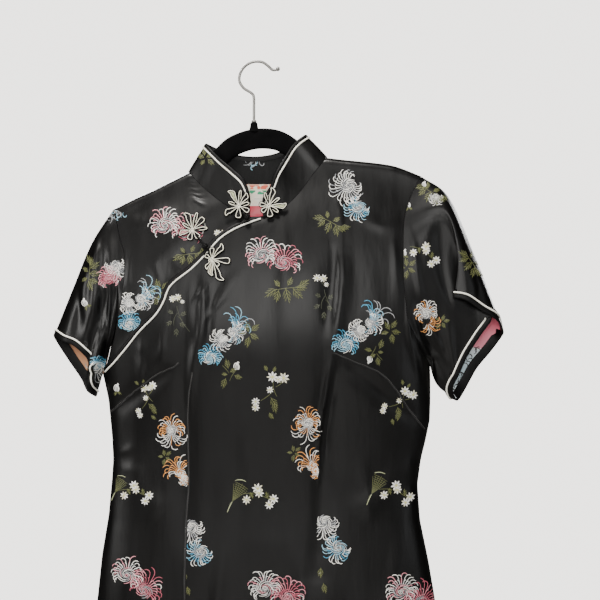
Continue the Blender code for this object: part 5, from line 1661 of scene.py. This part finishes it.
def vine(_rng):
    """A faint net of dark stems and leaves."""
    return stems(MOSS, (0, 12, -1.4, 34, 0.6, 0.7, 8), (1, 4, -2.3, 16, 0.9, 0.7, 6),
                 (1, 0, -0.6, 14, -0.8, 0.7, 6)) + leaves(
        (-4, 3, 150, 8), (4, 1, 25, 9), (-5, -6, -150, 9), (3, -8, -30, 9), (0, -14, -95, 10),
        kind=MOSS, lobes=2)


def fan_leaf(_rng):
    """A folded leaf drawn as a net, with its stem to the lower left."""
    low, wide = np.array([-6.0, -12.0]), 1.05
    strokes = [even(low, wide + 0.13 * k, 24 - 0.9 * abs(k), 0.04 * k, 0.8, OLIVE, 6)
               for k in range(-3, 4)]
    for k in range(8):
        reach = 6 + 2.5 * k
        start = low + reach * heading_of(wide - 0.40)
        strokes.append(even(start, wide + 1.45, reach * 0.78, 0.25, 0.75, OLIVE, 5))
    strokes.append(even(low + 25 * heading_of(wide + 0.38), 0.35, 13, -0.9, 1.0, "pale_green", 6))
    strokes.append(even(low, wide + 3.1, 14, 0.25, 1.2, "pale_green", 5))
    strokes.append(even(low + 1.5, wide + 2.7, 8, 0.35, 0.8, MOSS, 5))
    return strokes


def small_daisies(rng):
    return stems(MOSS, (1, -4, -1.0, 10, 0.4, 0.7, 5)) + daisies(
        rng, (-3.5, 0, 4.6), (4, -0.6, 4.6), (7.5, -8, 2.8))


def daisy_spray(rng):
    """Daisies and a bud on a forked stem with leaves below."""
    return stems(OLIVE, (1, -4, -1.7, 20, 0.7, 0.9, 7), (13, -4, -2.2, 12, -0.5, 0.9, 5),
                 (-14, -28, 0.5, 18, 0.3, 0.9, 5)) + daisies(
        rng, (0, 0, 6.4), (13, -1, 6.4), (7, -3, 4.0), (-3, -15, 4.2), (-20, -29, 4.6),
        (-20, -36, 4.6)) + leaves(
        (-2, -24, -60, 15), (2, -30, -85, 13), (-6, 7, 115, 8), (1, 6, 65, 7), (-4, -42, -60, 9))


def daisy_trio(rng):
    return stems(OLIVE, (-20, -3, 0.25, 19, -0.3, 0.9, 6), (1, -1, -0.7, 20, 0.6, 0.9, 6)) + daisies(
        rng, (0, 4, 6.2), (2, -1, 5.4), (-13, -9, 5.2), (19, -8, 5.6), (14, -15, 5.2)) + leaves(
        (-8, 0, -75, 8), (12, -7, 100, 8), lobes=2)


def scroll(rng):
    """A cloud scroll: curls linked along a wavy line."""
    rows = ((-10, 3, 0.6, 2.9, 11), (-6, -1, 2.2, -2.6, 13), (-4, -4, 0.1, 2.6, 12),
            (1, -1, 0.9, 2.8, 13), (4, 2, -1.0, -2.6, 12), (6, -4, 2.6, 2.4, 12),
            (9, 3, -2.2, 2.8, 13), (-9, -3, -0.3, 1.4, 11), (0, 4, 0.2, -2.2, 12),
            (0, -6, 0.3, 1.6, 11))
    return [petal((x, z), a, length, turn, turn * 0.5, 1.0, PALE if rng.random() < 0.5 else SILVER)
            for x, z, a, turn, length in rows]


def wrong_side(rng):
    """Loose dark outlines, as the back of the cloth shows them."""
    strokes = []
    for _ in range(7):
        a = rng.uniform(0, 6.28)
        start = (rng.uniform(-7, 7), rng.uniform(-8, 8))
        length, bend = rng.uniform(10, 16), rng.choice((-2.8, 2.8))
        strokes.append(even(start, a, length, bend, 1.5, "black_thread", 7))
    return strokes


MOTIFS = {motif.__name__: motif for motif in (
    scroll, wrong_side, leaf_spray, small_spray, shoot, bud, bud_spray, vine, fan_leaf, small_daisies,
    daisy_spray, daisy_trio)}
MOTIFS.update({
    "pink_pair": together(
        mum(80, 112, 28, 10.5, (ROSE, ROSE, PINK), (PINK, WHITE), (PINK, ROSE, PINK, SILVER),
            (26, -12)),
        mum(98, 128, 25, 11.5, (WHITE, PINK, WHITE), (PINK, PINK, WHITE), (WHITE, SILVER, PINK),
            (0, -3))),
    "star_flower": mum(215, 150, 28, 10, (WHITE, WHITE, SILVER), (WHITE,), (WHITE, SILVER),
                       (4, 3), 0.55),
    "tailed": together(
        spikes(56, 42, 32, (PALE, BLUE, SILVER), (4, -1)),
        spikes(60, 20, 25, (PALE, BLUE), (2, 0)),
        mum(205, 112, 18, 6, (WHITE, WHITE, SILVER), (WHITE,), (WHITE, WHITE, SILVER), (-7, -9)),
        mum(-15, 100, 18, 6.5, (SILVER, WHITE, PALE), (WHITE,), (SILVER, WHITE), (4, -1))),
    "blue_flower": mum(82, 125, 18, 9, (BLUE, BLUE, PALE), (PALE, BLUE), (PALE, WHITE, PALE), (-1, -6)),
    "teal_flower": mum(225, 130, 22, 9.5, (PALE, BLUE, WHITE), (WHITE, WHITE, PALE),
                       (PALE, WHITE, SILVER), (5, 2), 0.5),
    "white_flower": mum(262, 115, 24, 9.5, (WHITE, WHITE, SILVER), (WHITE,), (WHITE, SILVER, WHITE),
                        (-1, 6), 0.45),
    "white_orange": together(
        mum(92, 122, 21, 7.5, (ORANGE, WHITE, ORANGE), (ORANGE, WHITE), (WHITE, WHITE, SILVER), (0, 2)),
        spikes(268, 64, 24, (WHITE, WHITE, ORANGE), (0, 0))),
    "orange_flower": together(
        mum(118, 76, 26, 7, (ORANGE, ORANGE, ORANGE, WHITE), (ORANGE,), (WHITE, ORANGE), (3, -8)),
        mum(-60, 75, 11, 5.5, (WHITE, ORANGE), (ORANGE, WHITE), (WHITE, WHITE, ORANGE), (7, -14))),
    "rose_flower": mum(100, 140, 20, 8.5, (ROSE, PINK), (PINK, WHITE), (PINK, ROSE)),
    "curled": together(
        mum(120, 150, 19, 8, (ORANGE, WHITE, WHITE), (WHITE,), (WHITE, SILVER), (-4, 4)),
        spikes(-25, 60, 20, (ORANGE, ORANGE, WHITE), (2, -4))),
})
STROKE_WIDTH = 0.88       # share of its drawn width that a stroke is woven at
STEEPEST = 0.12           # least share of Y in the normal of cloth that a stroke is laid on
LEAP = 6 * MM             # a stroke that leaps further between two points is broken there
LAYERS = 0.25             # mm from a motif's first stroke up to its last
FLOAT_HEIGHTS = ((-0.5, 0.10), (0.0, 0.32), (0.5, 0.10))   # across a stroke, mm above the cloth
# A sewn line: a dark furrow between the soft edges of the folded cloth, which catch the light; a lighter
# thread along one edge is a painted highlight.
SEAM_ROWS = (
    # beside the line in mm, width in mm, thread, layer
    (1.4, 2.2, "satin", 0.35), (0.0, 1.3, "black_thread", 0.0), (-1.2, 1.8, "satin", 0.1),
    (1.0, 0.4, "seam_light", 0.75),
)


def motif_strokes(seed, kind, x, z, turn=0, size=1.0):
    """A motif's strokes in the cloth's x-z plane, in metres."""
    a = math.radians(turn)
    spin = np.array([[math.cos(a), math.sin(a)], [-math.sin(a), math.cos(a)]])
    place = np.array([x, z])
    return [((points @ spin * size + place) * MM, STROKE_WIDTH * widths * size ** 0.5 * MM, thread)
            for points, widths, thread in MOTIFS[kind](random.Random(seed))]


def skin_tree(obj):
    vertices = [v.co.copy() for v in obj.data.vertices]
    return BVHTree.FromPolygons(vertices, [tuple(p.vertices) for p in obj.data.polygons])


def lay_points(tree, flat, side):
    """Drop x-z points along Y onto a skin from its own side; None where they miss it."""
    laid = []
    for x, z in flat:
        hit, normal, _, _ = tree.ray_cast(Vector((x, side * 0.4, z)), Vector((0, -side, 0)))
        if hit is None or abs(normal.y) < STEEPEST:
            laid.append(None)
        else:
            laid.append((np.array(hit), np.array(normal) * (1 if normal.y * side > 0 else -1)))
    return laid


def ribbon(tree, points, widths, side, layer):
    """Vertices and faces of one raised thread float lying on a skin."""
    run = unit(np.gradient(points, axis=0))
    across = np.column_stack([-run[:, 1], run[:, 0]])
    rows = []
    for offset, lift in FLOAT_HEIGHTS:
        laid = lay_points(tree, points + across * (widths * offset)[:, None], side)
        rows.append([None if p is None else p[0] + p[1] * (lift + layer) * MM for p in laid])
    vertices, faces, last = [], [], False
    for three in zip(*rows):
        whole = all(place is not None for place in three)
        if whole and last and np.linalg.norm(three[1] - vertices[-2]) > LEAP:
            last = False
        if whole:
            vertices += three
            n = len(vertices)
            if last:
                faces += [(n - 6, n - 3, n - 2, n - 5), (n - 5, n - 2, n - 1, n - 4)]
        last = whole
    return vertices, faces


def seam_strokes(line):
    points = smooth_curve(np.array(line) * MM, 60)
    run = unit(np.gradient(points, axis=0))
    beside = np.column_stack([-run[:, 1], run[:, 0]]) * MM
    uneven = 1 + 0.25 * np.sin(np.arange(60) * 0.9)
    return [(points + aside * beside, width * MM * uneven, kind, layer)
            for aside, width, kind, layer in SEAM_ROWS]


def taken_up(points, x, z, seams):
    """Which points of a motif centred on x, z lie on its own side of every seam."""
    shown = np.ones(len(points), bool)
    for line in seams:
        pts = np.array(line)[::-1] * MM
        if not pts[0, 1] - 0.02 < z * MM < pts[-1, 1] + 0.02:
            continue
        own_side = np.sign(x * MM - np.interp(z * MM, pts[:, 1], pts[:, 0]))
        side = np.sign(points[:, 0] - np.interp(points[:, 1], pts[:, 1], pts[:, 0]))
        shown &= (side == own_side) | (points[:, 1] < pts[0, 1]) | (points[:, 1] > pts[-1, 1])
    return shown


def weave_motifs(name, skin, rows, side, cuts=(), sewn=()):
    """All the motifs and sewn lines of one piece of cloth as one object of raised threads;
    the seams in cuts take up what crosses them."""
    strokes = []
    for seed, row in enumerate(rows):
        drawn = motif_strokes(seed * 7 + len(name), *row)
        for order, (points, widths, thread) in enumerate(drawn):
            shown = taken_up(points, *row[1:3], cuts)
            if shown.sum() > 1:
                strokes.append((points[shown], widths[shown], thread, LAYERS * order / len(drawn)))
    strokes += [stroke for line in sewn for stroke in seam_strokes(line)]
    tree = skin_tree(skin)
    kinds, vertices, faces, slots = [], [], [], []
    for points, widths, thread, layer in strokes:
        more, quads = ribbon(tree, points, widths, side, layer)
        if quads:
            if thread not in kinds:
                kinds.append(thread)
            faces += [tuple(v + len(vertices) for v in quad) for quad in quads]
            slots += [kinds.index(thread)] * len(quads)
            vertices += more
    obj = mesh_object(name, vertices, faces, kinds, slots)
    obj.data.update()
    face_outwards(obj, side)
    return obj


def face_outwards(obj, side):
    wrong = [p.index for p in obj.data.polygons if p.normal.y * side < 0]
    bm = bmesh.new()
    bm.from_mesh(obj.data)
    bm.faces.ensure_lookup_table()
    bmesh.ops.reverse_faces(bm, faces=[bm.faces[i] for i in wrong])
    bm.to_mesh(obj.data)
    bm.free()


def onto_cloth(places, skin):
    """Move x, z in mm, given on the plane y = 0 as the camera sees them, onto the cloth."""
    tree = skin_tree(skin)
    eye = Vector(CAMERA_AT)
    moved = []
    for x, z in places:
        hit, _, _, _ = tree.ray_cast(eye, (Vector((x * MM, 0.0, z * MM)) - eye).normalized())
        moved.append((x, z) if hit is None else (hit.x / MM, hit.z / MM))
    return moved


def motifs_onto_cloth(rows, skin):
    places = onto_cloth([row[1:3] for row in rows], skin)
    return [(row[0], *place, *row[3:]) for row, place in zip(rows, places)]


# One repeat of the woven pattern for the cloth that the table above leaves out.
REPEAT_ACROSS, REPEAT_DOWN = 158, 402
REPEAT = [
    ("pink_pair", 10, 0), ("leaf_spray", 40, -42), ("small_daisies", 80, -30), ("vine", 84, -56),
    ("tailed", -32, -96), ("blue_flower", -50, -122), ("small_spray", -6, -98),
    ("bud_spray", -26, -138), ("daisy_spray", 22, -150), ("white_orange", 60, -206),
    ("orange_flower", 64, -248), ("fan_leaf", -20, -285), ("daisy_trio", 4, -287),
    ("white_flower", 82, -330), ("teal_flower", 92, -358), ("shoot", 76, -378),
]


def repeated(x_shift, z_shift, z_top, z_foot):
    """The repeat laid over a whole panel between two heights."""
    return [(kind, x + x_shift + over * REPEAT_ACROSS, z + z_shift - down * REPEAT_DOWN)
            for down in range(-1, 4) for over in range(-2, 3) for kind, x, z in REPEAT
            if z_foot < z + z_shift - down * REPEAT_DOWN < z_top]


CAMERA_AT = (0.053, -1.7, -0.2845)
SKY_LIGHT = 0.04          # what the pale surround gives as light
SKY_SEEN = 3.3            # and how bright it looks behind the dress
VIEW_WIDTH = 0.72         # metres across the frame at the dress's middle plane
FLOOR_HALF = 2.2
LIGHTS = {
    # at, aimed at, width, height, power, colour
    "key": ((-0.35, -1.3, 2.1), (0.0, 0.0, -0.3), 0.6, 0.6, 135, (1.0, 0.97, 0.93)),
    "side": ((1.4, -1.3, -0.3), (0.05, 0.0, -0.4), 0.3, 0.9, 2.9, (0.96, 0.98, 1.0)),
    "left": ((-1.6, -1.2, 0.0), (-0.1, 0.0, -0.3), 0.5, 1.0, 20.8, (1.0, 0.985, 0.96)),
    "top": ((0.02, -2.1, 0.11), (0.0, 0.0, -0.25), 1.45, 0.8, 24.7, (1.0, 0.985, 0.96)),
    "low": ((0.0, -2.1, -1.08), (0.0, 0.0, -0.4), 1.5, 0.14, 3.38, (1.0, 0.985, 0.96)),
    "back": ((-0.6, 1.8, 0.9), (0.0, 0.0, -0.5), 0.9, 0.9, 95, (1, 1, 1)),
    "back_side": ((1.2, 1.4, 0.2), (0.0, 0.0, -0.5), 0.5, 1.2, 30, (1, 1, 1)),
}


def placed(name, data, at):
    obj = bpy.data.objects.new(name, data)
    obj.location = at
    bpy.context.collection.objects.link(obj)
    return obj


def camera():
    data = bpy.data.cameras.new("camera")
    data.sensor_width = 36
    data.lens = data.sensor_width * -CAMERA_AT[1] / VIEW_WIDTH
    data.clip_end = 30
    obj = placed("camera", data, CAMERA_AT)
    obj.rotation_euler = (math.radians(90), 0, 0)
    bpy.context.scene.camera = obj


def surround():
    world = bpy.data.worlds.new("surround")
    bpy.context.scene.world = world
    world.use_nodes = True
    nodes, links = world.node_tree.nodes, world.node_tree.links
    sky = nodes["Background"]
    sky.inputs["Color"].default_value = (0.93, 0.905, 0.86, 1)
    strength = nodes.new("ShaderNodeMapRange")
    strength.inputs["To Min"].default_value = SKY_LIGHT
    strength.inputs["To Max"].default_value = SKY_SEEN
    links.new(nodes.new("ShaderNodeLightPath").outputs["Is Camera Ray"], strength.inputs["Value"])
    links.new(strength.outputs["Result"], sky.inputs["Strength"])


def studio():
    """A pale floor under the hem, a pale surround and soft lights."""
    surround()
    mesh = bpy.data.meshes.new("floor")
    level = CAD_BOX[0][2] - 40 * MM
    corners = [(x, y, level) for y in (-FLOOR_HALF, FLOOR_HALF) for x in (-FLOOR_HALF, FLOOR_HALF)]
    mesh.from_pydata(corners, [], [(0, 1, 3, 2)])
    mesh.materials.append(material("floor"))
    placed("floor", mesh, (0, 0, 0))
    for name, (at, aim, width, height, power, colour) in LIGHTS.items():
        data = bpy.data.lights.new(name, "AREA")
        data.shape = "RECTANGLE"
        data.size, data.size_y = width, height
        data.energy = power
        data.color = colour
        turned = (Vector(aim) - Vector(at)).to_track_quat("-Z", "Y")
        placed(name, data, at).rotation_euler = turned.to_euler()


LAP_LINE = opening_edge(120)
SLEEVE_SKINS = {name: sleeve_rings(name) for name in SLEEVES}

# Motifs on the hidden sides of the sleeves and collar, at their places as seen from behind.
BEHIND = {
    "collar": [("leaf_spray", 32, -120, 40, 0.6), ("tailed", -18, -122, 20, 0.7)],
    "sleeve_left": [
        ("pink_pair", 207, -168, 30, 0.9), ("small_spray", 232, -205, 40, 1.0),
        ("white_orange", 222, -262, 10, 0.9), ("leaf_spray", 258, -262, -30, 0.9),
        ("daisy_spray", 245, -325), ("blue_flower", 206, -345, 0, 0.9),
    ],
    "sleeve_right": [
        ("tailed", -196, -196, 20, 0.9), ("leaf_spray", -212, -250, 40, 0.8),
        ("rose_flower", -202, -292, 0, 0.9), ("bud", -216, -330),
    ],
}
SEEN = {"front": FRONT_MOTIFS, "collar": COLLAR_MOTIFS, "front_underlap": UNDERLAP_MOTIFS, "back": [],
        "sleeve_left": LEFT_SLEEVE_MOTIFS, "sleeve_right": RIGHT_SLEEVE_MOTIFS}
# Where the repeat is laid: its shift in x and z, and the heights between which it is, mm.
REPEATED = {"front": (12, -631, -668, -1110), "back": (-40, -150, -120, -1110)}


def dress():
    """All the cloth with its woven flowers and trim."""
    cloth = {"front": front_panel(), "front_underlap": underlap_panel(), "back": back_panel(),
             "sleeve_left": sleeve("sleeve_left"), "sleeve_right": sleeve("sleeve_right"),
             "collar": collar()}
    seams = {name: onto_cloth(line, cloth["front"]) for name, line in FRONT_SEAMS.items()}
    sewn = {"front": ([seams["waist_left"], seams["waist_right"]], seams.values())}
    woven = {}
    for node, seen in SEEN.items():
        rows = motifs_onto_cloth(seen, cloth[node])
        if node in REPEATED:
            rows += repeated(*REPEATED[node])
        name = "flowers_" + node.removeprefix("front_")
        side = 1 if node == "back" else -1
        woven[node] = [weave_motifs(name, cloth[node], rows, side, *sewn.get(node, ()))]
    for node, rows in BEHIND.items():
        woven[node].append(weave_motifs("flowers_behind_" + node, cloth[node], rows, 1))
    for node, obj in cloth.items():
        stands_for(obj, node)
    opening_trim()
    collar_trim()
    for name in SLEEVES:
        cuff_trim(name)


dress()
for frog_name in FROG_FLOWERS:
    frog(frog_name)
buttons()
label_pieces()
hanger()
camera()
studio()
